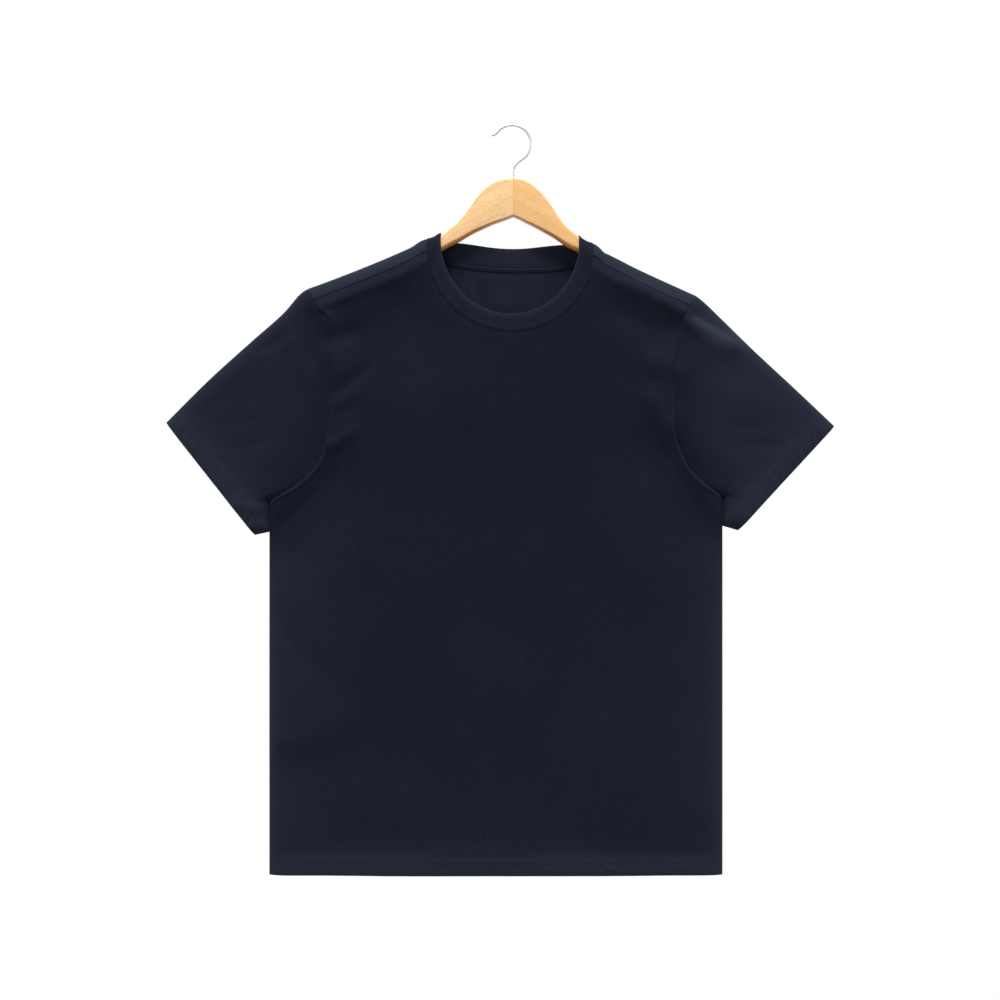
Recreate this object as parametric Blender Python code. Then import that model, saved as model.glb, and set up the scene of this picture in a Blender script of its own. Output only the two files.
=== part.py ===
"""Crew neck t-shirt hung on a wooden hanger.

Each cut and sewn piece of jersey is a thin wall of its own, and the hanger is two mitred arms
and a wire hook. Sizes are in millimetres and become metres where a mesh is made. The origin is
the inner top of the hook's loop, where a rail bears. +X is the viewer's right, +Y the back and
+Z up. Left and right have their own sizes, because the shirt hangs a little to the left.
"""

import math
from collections import namedtuple

import bmesh
import bpy

MM = 0.001
SIDES = ("left", "right")
TOWARDS = {"front": -1.0, "back": 1.0}
OUTWARD = {"left": -1.0, "right": 1.0}

# Cloth walls
JERSEY = 1.2
HEM_WALL = 2.2
RIB_WALL = 1.8
TAPE_WALL = 1.0
GAP = 0.3
TURNED_SEAM_GAP = 1.1

# Body outline
HEM_Z = -860.0
HEM_DEPTH = 18.0
HEM_STEP_HALF = 1.0
SIDE_X = {"left": -279.0, "right": 242.0}
SIDE_ROUND = 20.0
UNDERARM_AND_BELOW = -415.0

# Shoulders: the ridge is the top fold over the hanger, and the seam lies in front of it
RIDGE_ROUND = 9.0
SEAM_DROP = 13.0

# Neck: half widths and the lowest heights of the band's two edges, front and back
NECK_X = -2.5
NeckEdge = namedtuple("NeckEdge", "half_width front_z back_z")
NECK_SEAM = NeckEdge(95.5, -236.0, -160.0)
NECK_TOP = NeckEdge(79.5, -216.0, -141.0)
TAPE_DEPTH = 8.5
TAPE_START = 20.0

# Sleeves
CUFF_HEM = 22.0
SLEEVE_HALF_DEPTH = 7.5
SLEEVE_ROUND = 18.0
CUFF_SHARE_OF_SEAM = 0.8
UNDERARM_TURN = 30.0
LEAST_CUFF_START = 0.3
SEAM_DEPTH_FADES_BY = 0.7
UNDERARM_FADE_FROM = 0.8

# Hanger and hook
HANGER_X = 1.5
ARM_HALF = 6.5
ARM_TOP_ROUND = 4.5
ARM_BOTTOM_ROUND = 2.0
WIRE_RADIUS = 1.3
LOOP_RADIUS = 21.6
STEM_DEPTH = 24.0
BORE_ABOVE_WOOD = 10.0

# Mesh counts, and the first columns' distances from the side fold
SHOULDER_STEPS = 9
SIDE_COLUMNS = (0.0, 0.03, 1.2, 4.5, 10.0, 19.0)
NECK_STEPS = 14
ARMHOLE_STEPS = 11
ARMHOLE_BELOW_CORNER = 0.93
LEAST_ROW = 1.0
SIDE_STEPS = 11
SLEEVE_STEPS = 7
SLEEVE_FOLD_STEPS = 3
BAND_STEPS = 3
RIDGE_DROPS = (0.0, 0.134 * RIDGE_ROUND, 0.5 * RIDGE_ROUND, RIDGE_ROUND)

Place = namedtuple("Place", "x z")

# Top fold of each shoulder, from the armhole to the neck point
SHOULDER_RIDGE = {
    "left": (
        Place(-240.0, -189.0),
        Place(-219.0, -181.5),
        Place(-171.0, -163.0),
        Place(-127.0, -144.5),
        Place(-102.0, -132.0),
        Place(-82.0, -124.0),
    ),
    "right": (
        Place(212.0, -195.5),
        Place(181.0, -181.5),
        Place(141.0, -163.0),
        Place(114.0, -149.5),
        Place(95.0, -136.0),
        Place(77.0, -125.0),
    ),
}

# Armhole seam, from the ridge down to the underarm
ARMHOLE = {
    "left": (
        Place(-234.0, -186.5),
        Place(-221.5, -210.0),
        Place(-208.5, -229.0),
        Place(-206.5, -262.0),
        Place(-208.0, -313.0),
        Place(-211.0, -352.0),
        Place(-218.5, -380.0),
        Place(-231.5, -398.0),
        Place(-249.5, -414.0),
        Place(-279.0, -432.0),
    ),
    "right": (
        Place(211.5, -195.0),
        Place(206.0, -203.0),
        Place(194.5, -220.0),
        Place(190.0, -246.0),
        Place(185.5, -287.0),
        Place(186.5, -346.0),
        Place(199.0, -385.0),
        Place(217.5, -408.0),
        Place(242.0, -427.0),
    ),
}

# Top fold of each sleeve, from the armhole to the tip of the cuff
SLEEVE_TOP = {
    "left": (
        Place(-234.4, -186.5),
        Place(-241.5, -190.6),
        Place(-262.0, -213.6),
        Place(-298.0, -246.0),
        Place(-348.5, -292.0),
        Place(-397.3, -340.6),
    ),
    "right": (
        Place(211.9, -195.0),
        Place(218.5, -200.0),
        Place(238.0, -218.5),
        Place(277.0, -257.0),
        Place(326.5, -303.3),
        Place(370.3, -344.7),
    ),
}

# Lower fold of each sleeve: down the body's side from the underarm, then out to the cuff
SLEEVE_UNDER = {
    "left": (Place(-279.6, -432.4), Place(-279.8, -464.0), Place(-295.6, -470.0)),
    "right": (Place(242.6, -427.4), Place(242.8, -457.0), Place(259.6, -464.6)),
}

# Half the cloth's depth at each height, near its edges and half way across
Depth = namedtuple("Depth", "z edge middle")
DEPTHS = (
    Depth(-860.0, 6.0, 9.5),
    Depth(-640.0, 7.5, 12.0),
    Depth(-430.0, 8.5, 13.0),
    Depth(-300.0, 9.6, 12.0),
    Depth(-190.0, 10.0, 10.8),
    Depth(-120.0, 10.0, 10.2),
)

# Largest folds: a soft ridge, or a trough where the rise is negative, along a line on one face
Fold = namedtuple("Fold", "face x z end_x end_z width rise")
FOLDS = (
    Fold("front", -214.0, -225.0, -203.0, -262.0, 13.0, -2.4),
    Fold("front", -272.0, -434.0, -238.0, -500.0, 13.0, -2.6),
    Fold("front", -183.0, -400.0, -215.0, -462.0, 15.0, 1.8),
    Fold("front", -248.0, -520.0, -238.0, -650.0, 32.0, 1.8),
    Fold("front", 100.0, -170.0, 178.0, -236.0, 14.0, -2.0),
    Fold("front", 205.0, -229.0, 276.0, -268.0, 14.0, -3.0),
    Fold("front", 216.0, -212.0, 290.0, -252.0, 15.0, 2.0),
    Fold("front", 162.0, -250.0, 180.0, -345.0, 17.0, 2.0),
    Fold("front", 168.0, -350.0, 236.0, -476.0, 15.0, -2.8),
    Fold("front", 8.0, -690.0, 30.0, -800.0, 38.0, 1.8),
    Fold("back", 170.0, -240.0, 205.0, -300.0, 15.0, -2.2),
    Fold("back", 236.0, -430.0, 196.0, -520.0, 15.0, -2.6),
    Fold("back", -270.0, -436.0, -205.0, -520.0, 15.0, -2.6),
    Fold("back", -190.0, -250.0, -214.0, -330.0, 16.0, 2.0),
    Fold("back", -60.0, -215.0, -20.0, -300.0, 26.0, -1.8),
    Fold("back", 60.0, -520.0, 90.0, -690.0, 36.0, 1.8),
    Fold("back", -296.0, -280.0, -250.0, -330.0, 15.0, -2.4),
    Fold("back", 270.0, -290.0, 226.0, -340.0, 15.0, -2.4),
)

# Wooden arms: reach from the mitre, and the heights of the top and bottom edges
ArmSection = namedtuple("ArmSection", "reach top bottom")
ARM_INNER = {
    "left": (
        ArmSection(0.15, -60.5, -103.5),
        ArmSection(9.0, -61.0, -107.2),
        ArmSection(16.0, -62.8, -109.8),
        ArmSection(23.0, -65.6, -112.4),
        ArmSection(31.0, -71.0, -116.2),
        ArmSection(38.0, -77.9, -119.6),
        ArmSection(44.0, -84.8, -122.4),
        ArmSection(51.0, -95.1, -126.4),
        ArmSection(62.0, -108.9, -132.8),
        ArmSection(71.0, -117.0, -137.2),
    ),
    "right": (
        ArmSection(0.15, -60.5, -103.5),
        ArmSection(8.0, -61.4, -107.0),
        ArmSection(14.0, -63.8, -110.4),
        ArmSection(20.0, -67.0, -113.4),
        ArmSection(26.0, -71.8, -116.6),
        ArmSection(33.0, -78.6, -120.6),
        ArmSection(39.0, -85.8, -124.0),
        ArmSection(46.0, -96.0, -128.2),
        ArmSection(55.0, -109.4, -134.2),
        ArmSection(63.0, -118.4, -139.4),
    ),
}
ARM_UNDER_CLOTH = {"left": (84.0, 206.0), "right": (76.0, 201.0)}
ARM_DROP_AT_NECK = 3.4
ARM_DROP_UNDER_JERSEY = 2.2
ARM_HEIGHT_AT_NECK = 17.0
ARM_HEIGHT_AT_TIP = 14.0
ARM_CLOTH_STEPS = 10
ARM_TIP_LENGTH = 8.0
ARM_TIP_SHARES = (0.4, 0.75, 0.95, 1.0)
ARM_TIP_DROP = 3.6
ARM_TIP_LEAST = 0.02

# The hook's middle line below its round loop, the loop's angles, and its flicked tip
HOOK_SHANK = (
    Place(1.5, -54.0),
    Place(1.7, -50.5),
    Place(3.1, -47.0),
    Place(5.8, -43.0),
)
HOOK_LOOP_ANGLES = range(-38, 136, 9)
HOOK_TIP = (Place(-18.4, -8.6), Place(-20.6, -10.0), Place(-23.6, -10.6))


# ---------------------------------------------------------------- curves and sizes


def smooth_line(pairs):
    """Return a function through (x, y) pairs of rising x that never overshoots between them."""
    xs, ys = zip(*pairs)
    steps = [(ys[i + 1] - ys[i]) / (xs[i + 1] - xs[i]) for i in range(len(xs) - 1)]
    slopes = [steps[0]]
    for before, after in zip(steps, steps[1:]):
        turns = before * after <= 0.0
        slopes.append(0.0 if turns else 2.0 * before * after / (before + after))
    slopes.append(steps[-1])

    def value(x):
        x = min(max(x, xs[0]), xs[-1])
        i = 0
        while i < len(xs) - 2 and x > xs[i + 1]:
            i += 1
        span = xs[i + 1] - xs[i]
        t = (x - xs[i]) / span
        rise = (3.0 - 2.0 * t) * t * t
        bend = span * t * (1.0 - t)
        return ys[i] + (ys[i + 1] - ys[i]) * rise + bend * ((1.0 - t) * slopes[i] - t * slopes[i + 1])

    return value


def path_along(places):
    """Return a function that gives the place at a share, from 0 to 1, of a line's length."""
    reached = [0.0]
    for here, there in zip(places, places[1:]):
        reached.append(reached[-1] + math.hypot(there.x - here.x, there.z - here.z))
    x_line = smooth_line([(length, place.x) for length, place in zip(reached, places)])
    z_line = smooth_line([(length, place.z) for length, place in zip(reached, places)])
    return lambda share: Place(x_line(share * reached[-1]), z_line(share * reached[-1]))


def mix(a, b, share):
    return a + (b - a) * share


def mix_places(a, b, share):
    return Place(mix(a.x, b.x, share), mix(a.z, b.z, share))


def ease(t):
    t = min(max(t, 0.0), 1.0)
    return t * t * (3.0 - 2.0 * t)


def round_over(distance, size):
    """Rise from 0 to 1 along a quarter ellipse over this distance from a fold."""
    if distance <= 0.0:
        return 0.0
    if distance >= size:
        return 1.0
    return math.sqrt(1.0 - (1.0 - distance / size) ** 2)


edge_depth = smooth_line([(row.z, row.edge) for row in DEPTHS])
middle_depth = smooth_line([(row.z, row.middle) for row in DEPTHS])
ridge_line = smooth_line(sorted(SHOULDER_RIDGE["left"] + SHOULDER_RIDGE["right"]))
armhole_line = {
    side: smooth_line(sorted((place.z, place.x) for place in ARMHOLE[side])) for side in SIDES
}


def fold_rise(face, x, z):
    """Sum the folds of one face at a place: each is a soft ridge that fades at its ends."""
    total = 0.0
    for fold in FOLDS:
        if fold.face != face:
            continue
        run_x = fold.end_x - fold.x
        run_z = fold.end_z - fold.z
        length = math.hypot(run_x, run_z)
        along = ((x - fold.x) * run_x + (z - fold.z) * run_z) / length
        across = ((x - fold.x) * run_z - (z - fold.z) * run_x) / length
        beyond = max(-along, along - length, 0.0)
        total += fold.rise * math.exp(-((across / fold.width) ** 2) - (beyond / fold.width) ** 2)
    return total


def half_depth(face, x, z):
    """Half the depth of the body's cloth at a place, folds included, without the top fold."""
    centre = 0.5 * (SIDE_X["left"] + SIDE_X["right"])
    half_width = 0.5 * (SIDE_X["right"] - SIDE_X["left"])
    across = min(abs(x - centre) / half_width, 1.0)
    inside = half_width - abs(x - centre)
    edge = edge_depth(z)
    plain = edge + (middle_depth(z) - edge) * (1.0 - across**2)
    return (plain + fold_rise(face, x, z)) * round_over(inside, SIDE_ROUND) + 0.5 * GAP


def armhole_x(side, z, outward):
    """The armhole seam at a height, moved square to itself, outwards or towards the body."""
    step = 0.5
    slope = (armhole_line[side](z + step) - armhole_line[side](z - step)) / (2.0 * step)
    return armhole_line[side](z) + OUTWARD[side] * outward * math.hypot(1.0, slope)


def body_edge_x(side, z):
    """The body's edge at a height: its side below the underarm, the armhole seam above it."""
    if z <= ARMHOLE[side][-1].z:
        return SIDE_X[side]
    return armhole_x(side, z, -0.5 * GAP)


# ---------------------------------------------------------------- seams shared by the pieces


def neck_place(edge, face, turn, gap=0.0):
    """A place on one edge of the neck, at a turn of 0 (left) to pi (right) round the opening."""
    half = edge.half_width + gap
    starts = [ridge_line(NECK_X - half) - RIDGE_ROUND, ridge_line(NECK_X + half) - RIDGE_ROUND]
    lowest = edge.front_z if face == "front" else edge.back_z
    drop = 0.5 * sum(starts) - lowest + gap
    x = NECK_X - half * math.cos(turn)
    z = mix(starts[0], starts[1], 0.5 - 0.5 * math.cos(turn)) - drop * math.sin(turn)
    return Place(x, z)


def seam_drop(face):
    """How far below the ridge a panel's shoulder edge lies; the front one clears the seam."""
    return SEAM_DROP + (1.5 * GAP if face == "front" else 0.0)


def neck_turns(face):
    """Turns of the neck's columns, from shoulder seam to shoulder seam."""
    lowest = NECK_SEAM.front_z if face == "front" else NECK_SEAM.back_z
    drop = ridge_line(NECK_X - NECK_SEAM.half_width) - RIDGE_ROUND - lowest
    first = math.asin((seam_drop(face) - RIDGE_ROUND) / drop)
    return [mix(first, math.pi - first, k / NECK_STEPS) for k in range(NECK_STEPS + 1)]


def shoulder_place(side, face, share, drop):
    """A place below the ridge, at a share of the way from the armhole to the neck."""
    arm_x = armhole_line[side](ARMHOLE[side][0].z)
    for _ in range(6):
        arm_x = armhole_line[side](ridge_line(arm_x) - drop)
    arm_x -= OUTWARD[side] * 0.5 * GAP
    turn = neck_turns(face)[0 if side == "left" else -1]
    if drop > RIDGE_ROUND:
        neck_x = neck_place(NECK_SEAM, face, turn, 0.5 * GAP).x
    else:
        neck_x = NECK_X + OUTWARD[side] * (NECK_SEAM.half_width + 0.5 * GAP)
    x = mix(arm_x, neck_x, share)
    return Place(x, ridge_line(x) - drop)


def on_shoulder(side, face, share, drop):
    """The point of the cloth at such a place, rounded over the ridge."""
    place = shoulder_place(side, face, share, drop)
    depth = half_depth(face, place.x, place.z) * round_over(drop, RIDGE_ROUND)
    return (place.x, TOWARDS[face] * depth, place.z)


def armhole_heights(side):
    """Heights of the seam's points from the underarm up, closer together near the underarm."""
    path = path_along(tuple(reversed(ARMHOLE[side])))
    corner = shoulder_place(side, "back", 0.0, SEAM_DROP).z
    heights = []
    for k in range(ARMHOLE_STEPS):
        share = 1.0 - math.cos(0.5 * math.pi * k / ARMHOLE_STEPS)
        highest = corner - LEAST_ROW * (ARMHOLE_STEPS - k)
        heights.append(min(path(ARMHOLE_BELOW_CORNER * share).z, highest))
    heights.append(corner)
    return heights


def side_heights(side):
    """Heights of the body's rows below the underarm: the hem's step, then even rows."""
    underarm = ARMHOLE[side][-1].z
    hem_top = HEM_Z + HEM_DEPTH + HEM_STEP_HALF
    rows = [HEM_Z, hem_top - 2.0 * HEM_STEP_HALF, hem_top]
    rows += [mix(hem_top, underarm, (k + 1) / SIDE_STEPS) for k in range(SIDE_STEPS - 1)]
    return rows


# ---------------------------------------------------------------- meshes


def new_material(name, colour, roughness, metallic=0.0):
    material = bpy.data.materials.new(name)
    material.use_nodes = True
    shader = material.node_tree.nodes["Principled BSDF"]
    shader.inputs["Base Color"].default_value = (*colour, 1.0)
    shader.inputs["Roughness"].default_value = roughness
    shader.inputs["Metallic"].default_value = metallic
    return material


def new_object(name, mesh, material):
    thing = bpy.data.objects.new(name, mesh)
    mesh.materials.append(material)
    mesh.shade_smooth()
    bpy.context.collection.objects.link(thing)
    return thing


def add_grid(bm, rows, closed=False):
    """Join rows of points into quads; a closed grid joins each row's end to its start."""
    grid = [[bm.verts.new([value * MM for value in point]) for point in row] for row in rows]
    last = len(rows[0]) if closed else len(rows[0]) - 1
    for lower, upper in zip(grid, grid[1:]):
        for k in range(last):
            after = (k + 1) % len(lower)
            bm.faces.new((lower[k], lower[after], upper[after], upper[k]))
    return grid


def cloth(name, bm, wall, material, thick_points=(), half=None):
    """Give an open sheet its wall, inwards from its outer face, and turn it into an object.

    The hem's points have the turned-up hem's wall. A panel that is one half of the body keeps
    to its own half at the side folds.
    """
    thick = {tuple(vert.co) for vert in thick_points}
    bmesh.ops.remove_doubles(bm, verts=bm.verts, dist=0.01 * MM)
    bm.normal_update()
    outer_faces = list(bm.faces)
    rims = [edge for edge in bm.edges if edge.is_boundary]
    inner = {}
    for vert in list(bm.verts):
        own_wall = HEM_WALL if tuple(vert.co) in thick else wall
        place = vert.co - vert.normal * own_wall * MM
        if half and vert.co.z < UNDERARM_AND_BELOW * MM:
            place.y = half * max(half * place.y, 0.5 * GAP * MM)
        inner[vert] = bm.verts.new(place)
    for edge in rims:
        loop = edge.link_loops[0]
        first, second = loop.vert, loop.link_loop_next.vert
        bm.faces.new((second, first, inner[first], inner[second]))
    for face in outer_faces:
        bm.faces.new([inner[vert] for vert in reversed(face.verts)])
    mesh = bpy.data.meshes.new(name)
    bm.to_mesh(mesh)
    bm.free()
    return new_object(name, mesh, material)


# ---------------------------------------------------------------- front and back


def column_tops(face):
    """Places of the panel's upper edge: left shoulder, neck, right shoulder."""
    drop = seam_drop(face)
    steps = [k / SHOULDER_STEPS for k in range(SHOULDER_STEPS)]
    left = [shoulder_place("left", face, share, drop) for share in steps]
    right = [shoulder_place("right", face, share, drop) for share in reversed(steps)]
    neck = [neck_place(NECK_SEAM, face, turn, 0.5 * GAP) for turn in neck_turns(face)]
    return left + neck + right


def hem_columns():
    """Shares of the body's width where the columns leave the hem, close together at its sides."""
    width = SIDE_X["right"] - SIDE_X["left"]
    shares = [distance / width for distance in SIDE_COLUMNS]
    count = 2 * SHOULDER_STEPS + NECK_STEPS
    inner = count - 2 * len(SIDE_COLUMNS) + 2
    first = shares[-1]
    between = [mix(first, 1.0 - first, (k + 1) / inner) for k in range(inner - 1)]
    return shares + between + [1.0 - share for share in reversed(shares)]


def panel_rows(face):
    """Rows of points over a panel, from the hem up to the shoulder seams and the neck."""
    tops = column_tops(face)
    columns = hem_columns()
    heights = {side: side_heights(side) + armhole_heights(side) for side in SIDES}
    corners = {"left": tops[0].z, "right": tops[-1].z}
    underarm = (ARMHOLE["left"][-1].z - HEM_Z) / (corners["left"] - HEM_Z)
    rows = []
    for level in range(len(heights["left"])):
        row = []
        for top, column in zip(tops, columns):
            shares = [
                (heights[side][level] - HEM_Z) / (heights[side][-1] - HEM_Z) for side in SIDES
            ]
            share = mix(shares[0], shares[1], column)
            z = mix(HEM_Z, top.z, share)
            edges = [body_edge_x(side, min(z, corners[side])) for side in SIDES]
            top_edges = [body_edge_x(side, min(top.z, corners[side])) for side in SIDES]
            top_share = (top.x - top_edges[0]) / (top_edges[1] - top_edges[0])
            spread = ease((share - underarm) / (1.0 - underarm))
            x = mix(edges[0], edges[1], mix(column, top_share, spread))
            row.append((x, TOWARDS[face] * half_depth(face, x, z), z))
        rows.append(row)
    return rows


def hem_points(grid):
    """The turned-up hem's points, all but those in the tight side folds."""
    tight = len(SIDE_COLUMNS) - 2
    return grid[0][tight:-tight] + grid[1][tight:-tight]


def make_front(material):
    bm = bmesh.new()
    grid = add_grid(bm, panel_rows("front"))
    return cloth("front", bm, JERSEY, material, hem_points(grid), TOWARDS["front"])


def make_back(material):
    """The back panel and its two strips that come forward over the shoulders."""
    bm = bmesh.new()
    grid = add_grid(bm, [list(reversed(row)) for row in panel_rows("back")])
    behind = [("back", drop) for drop in (SEAM_DROP,) + RIDGE_DROPS[:0:-1]]
    ahead = [("front", drop) for drop in RIDGE_DROPS + (SEAM_DROP,)]
    for side in SIDES:
        strip = []
        for face, drop in behind + ahead:
            shares = [k / SHOULDER_STEPS for k in range(SHOULDER_STEPS + 1)]
            if side == "left":
                shares.reverse()
            strip.append([on_shoulder(side, face, share, drop) for share in shares])
        add_grid(bm, strip)
    return cloth("back", bm, JERSEY, material, hem_points(grid), TOWARDS["back"])


# ---------------------------------------------------------------- sleeves


def seam_ring(side):
    """Points of the sleeve's inner end, down the front and up the back.

    They follow the armhole from the ridge to the underarm, then the fold down the body's side,
    where front and back share their points.
    """
    underarm, turn = SLEEVE_UNDER[side][:2]
    halves = {}
    for face in TOWARDS:
        half = []
        for drop in RIDGE_DROPS + (SEAM_DROP,):
            x, y, z = on_shoulder(side, face, 0.0, drop)
            half.append((x + OUTWARD[side] * TURNED_SEAM_GAP, y, z))
        for z in reversed(armhole_heights(side)[1:-1]):
            depth = half_depth(face, armhole_line[side](z), z)
            near_underarm = ease(1.0 - (z - underarm.z) / UNDERARM_TURN)
            gap = mix(0.5 * GAP, TURNED_SEAM_GAP, near_underarm)
            half.append((armhole_x(side, z, gap), TOWARDS[face] * depth, z))
        for k in range(SLEEVE_FOLD_STEPS + 1):
            place = mix_places(underarm, turn, k / SLEEVE_FOLD_STEPS)
            half.append((place.x, 0.0, place.z))
        halves[face] = half
    return halves["front"] + halves["back"][-2:0:-1]


def cuff_shares(ring, side):
    """Where each ring point's line reaches the cuff, as a share from its tip to its corner."""
    count = len(ring) // 2 + 1
    reached = [0.0]
    for here, there in zip(ring[:count], ring[1:count]):
        reached.append(reached[-1] + math.dist(here, there))
    seam_end = count - 1 - SLEEVE_FOLD_STEPS
    shares = [CUFF_SHARE_OF_SEAM * length / reached[seam_end] for length in reached[: seam_end + 1]]
    for k in range(SLEEVE_FOLD_STEPS):
        shares.append(mix(CUFF_SHARE_OF_SEAM, 1.0, (k + 1) / SLEEVE_FOLD_STEPS))
    return shares + shares[-2:0:-1]


def distance_to_line(place, line):
    """Distance from a place to a line of straight stretches."""
    nearest = math.inf
    for here, there in zip(line, line[1:]):
        run = (there.x - here.x, there.z - here.z)
        part = (place.x - here.x) * run[0] + (place.z - here.z) * run[1]
        part = min(max(part / (run[0] ** 2 + run[1] ** 2), 0.0), 1.0)
        close = mix_places(here, there, part)
        nearest = min(nearest, math.hypot(place.x - close.x, place.z - close.z))
    return nearest


def sleeve_place(side, seam, share, step):
    """A place between the seam, at step 0, and the cuff, at step 1, inside the four edges."""
    tip, corner = SLEEVE_TOP[side][-1], SLEEVE_UNDER[side][-1]
    top = path_along(SLEEVE_TOP[side])
    start, turn = top(0.0), SLEEVE_UNDER[side][1]
    across = mix_places(seam, mix_places(tip, corner, share), step)
    along = mix_places(top(step), mix_places(turn, corner, step), share)
    plain = mix_places(mix_places(start, turn, share), mix_places(tip, corner, share), step)
    return Place(across.x + along.x - plain.x, across.z + along.z - plain.z)


def sleeve_point(side, face, seam, share, step):
    """A point of the sleeve: its depth grows from the folds and leaves the armhole smoothly."""
    place = sleeve_place(side, Place(seam[0], seam[2]), share, step)
    top_round = mix(RIDGE_ROUND, SLEEVE_ROUND, step)
    rounding = round_over(distance_to_line(place, SLEEVE_TOP[side]), top_round)
    rounding *= round_over(distance_to_line(place, SLEEVE_UNDER[side]), SLEEVE_ROUND)
    own = (SLEEVE_HALF_DEPTH + fold_rise(face, place.x, place.z)) * rounding
    near_underarm = (share / CUFF_SHARE_OF_SEAM - UNDERARM_FADE_FROM) / (1.0 - UNDERARM_FADE_FROM)
    own_part = max(ease(step / SEAM_DEPTH_FADES_BY), ease(near_underarm))
    depth = mix(abs(seam[1]), own, own_part if step > 0.0 else 0.0)
    return (place.x, TOWARDS[face] * depth, place.z)


def make_sleeve(side, material):
    bm = bmesh.new()
    ring = seam_ring(side)
    shares = cuff_shares(ring, side)
    rows = []
    for level in range(SLEEVE_STEPS + 3):
        row = []
        for k, (seam, share) in enumerate(zip(ring, shares)):
            face = "front" if k <= len(ring) // 2 else "back"
            edge = mix_places(SLEEVE_TOP[side][-1], SLEEVE_UNDER[side][-1], share)
            length = math.hypot(edge.x - seam[0], edge.z - seam[2])
            hem_step = max(1.0 - CUFF_HEM / length, LEAST_CUFF_START)
            steps = [hem_step * j / SLEEVE_STEPS for j in range(SLEEVE_STEPS + 1)]
            steps += [hem_step + HEM_STEP_HALF / length, 1.0]
            row.append(sleeve_point(side, face, seam, share, steps[level]))
        rows.append(row)
    if side == "left":
        rows = [row[:1] + row[:0:-1] for row in rows]
    grid = add_grid(bm, rows, closed=True)
    return cloth(f"sleeve_{side}", bm, JERSEY, material, grid[-2] + grid[-1])


# ---------------------------------------------------------------- neckband and tape


def band_point(face, turn, drop, side, share):
    """A point of the band, at a share of the way from its seam to its top edge."""
    if drop is None:
        seam = neck_place(NECK_SEAM, face, turn, -GAP)
        place = mix_places(seam, neck_place(NECK_TOP, face, turn), share)
        rounding = 1.0
    else:
        half = mix(NECK_SEAM.half_width - GAP, NECK_TOP.half_width, share)
        x = NECK_X + OUTWARD[side] * half
        place = Place(x, ridge_line(x) - drop)
        rounding = round_over(drop, RIDGE_ROUND)
    return (place.x, TOWARDS[face] * half_depth(face, place.x, place.z) * rounding, place.z)


def band_stations():
    """Stations round the neck: front, right ridge, back, left ridge."""
    stations = []
    front = neck_turns("front")
    back = neck_turns("back")
    stations += [("front", turn, None, None) for turn in front]
    stations += [("front", 0.0, drop, "right") for drop in RIDGE_DROPS[::-1]]
    stations += [("back", 0.0, drop, "right") for drop in RIDGE_DROPS[1:]]
    stations += [("back", turn, None, None) for turn in reversed(back)]
    stations += [("back", 0.0, drop, "left") for drop in RIDGE_DROPS[::-1]]
    stations += [("front", 0.0, drop, "left") for drop in RIDGE_DROPS[1:]]
    return stations


def make_neckband(material):
    bm = bmesh.new()
    stations = band_stations()
    rows = []
    for step in range(BAND_STEPS + 1):
        share = step / BAND_STEPS
        rows.append([band_point(*station, share) for station in stations])
    add_grid(bm, rows, closed=True)
    return cloth("neckband", bm, RIB_WALL, material)


def make_neck_tape(material):
    """A strip inside the back panel, just under the neck seam."""
    inward = JERSEY + GAP
    first = math.radians(TAPE_START)
    turns = [mix(first, math.pi - first, k / NECK_STEPS) for k in range(NECK_STEPS + 1)]
    rows = []
    for drop in (TAPE_DEPTH + 1.0, 1.0):
        row = []
        for turn in reversed(turns):
            place = neck_place(NECK_SEAM, "back", turn, GAP)
            z = place.z - drop
            row.append((place.x, half_depth("back", place.x, z) - inward, z))
        rows.append(row)
    bm = bmesh.new()
    add_grid(bm, rows)
    return cloth("neck_tape", bm, TAPE_WALL, material)


# ---------------------------------------------------------------- hanger and hook


def arm_sections(side):
    """Sections of an arm: the bare wood by the neck, then the stretch under the cloth."""
    sections = list(ARM_INNER[side])
    first, last = ARM_UNDER_CLOTH[side]
    for k in range(ARM_CLOTH_STEPS + 1):
        share = k / ARM_CLOTH_STEPS
        reach = mix(first, last, share)
        clearance = mix(ARM_DROP_AT_NECK, ARM_DROP_UNDER_JERSEY, min(share * 4.0, 1.0))
        top = ridge_line(HANGER_X + OUTWARD[side] * reach) - clearance
        height = mix(ARM_HEIGHT_AT_NECK, ARM_HEIGHT_AT_TIP, share)
        sections.append(ArmSection(reach, top, top - height))
    return sections


def arm_outline(section, side, shrink=1.0):
    """A section's points: flat faces, softly rounded top edges and crisper bottom ones."""
    middle = 0.5 * (section.top + section.bottom)
    points = []
    corners = (
        (1.0, section.top, ARM_TOP_ROUND, 0.0),
        (-1.0, section.top, ARM_TOP_ROUND, 90.0),
        (-1.0, section.bottom, ARM_BOTTOM_ROUND, 180.0),
        (1.0, section.bottom, ARM_BOTTOM_ROUND, 270.0),
    )
    for across, z, radius, start in corners:
        upward = 1.0 if z > middle else -1.0
        for turn in (0.0, 30.0, 60.0, 90.0):
            angle = math.radians(start + turn)
            y = across * (ARM_HALF - radius) + radius * math.cos(angle)
            height = z - upward * radius + radius * math.sin(angle)
            points.append((y * shrink, mix(middle, height, shrink)))
    x = HANGER_X + OUTWARD[side] * section.reach
    return [(x, y, z) for y, z in points]


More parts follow.
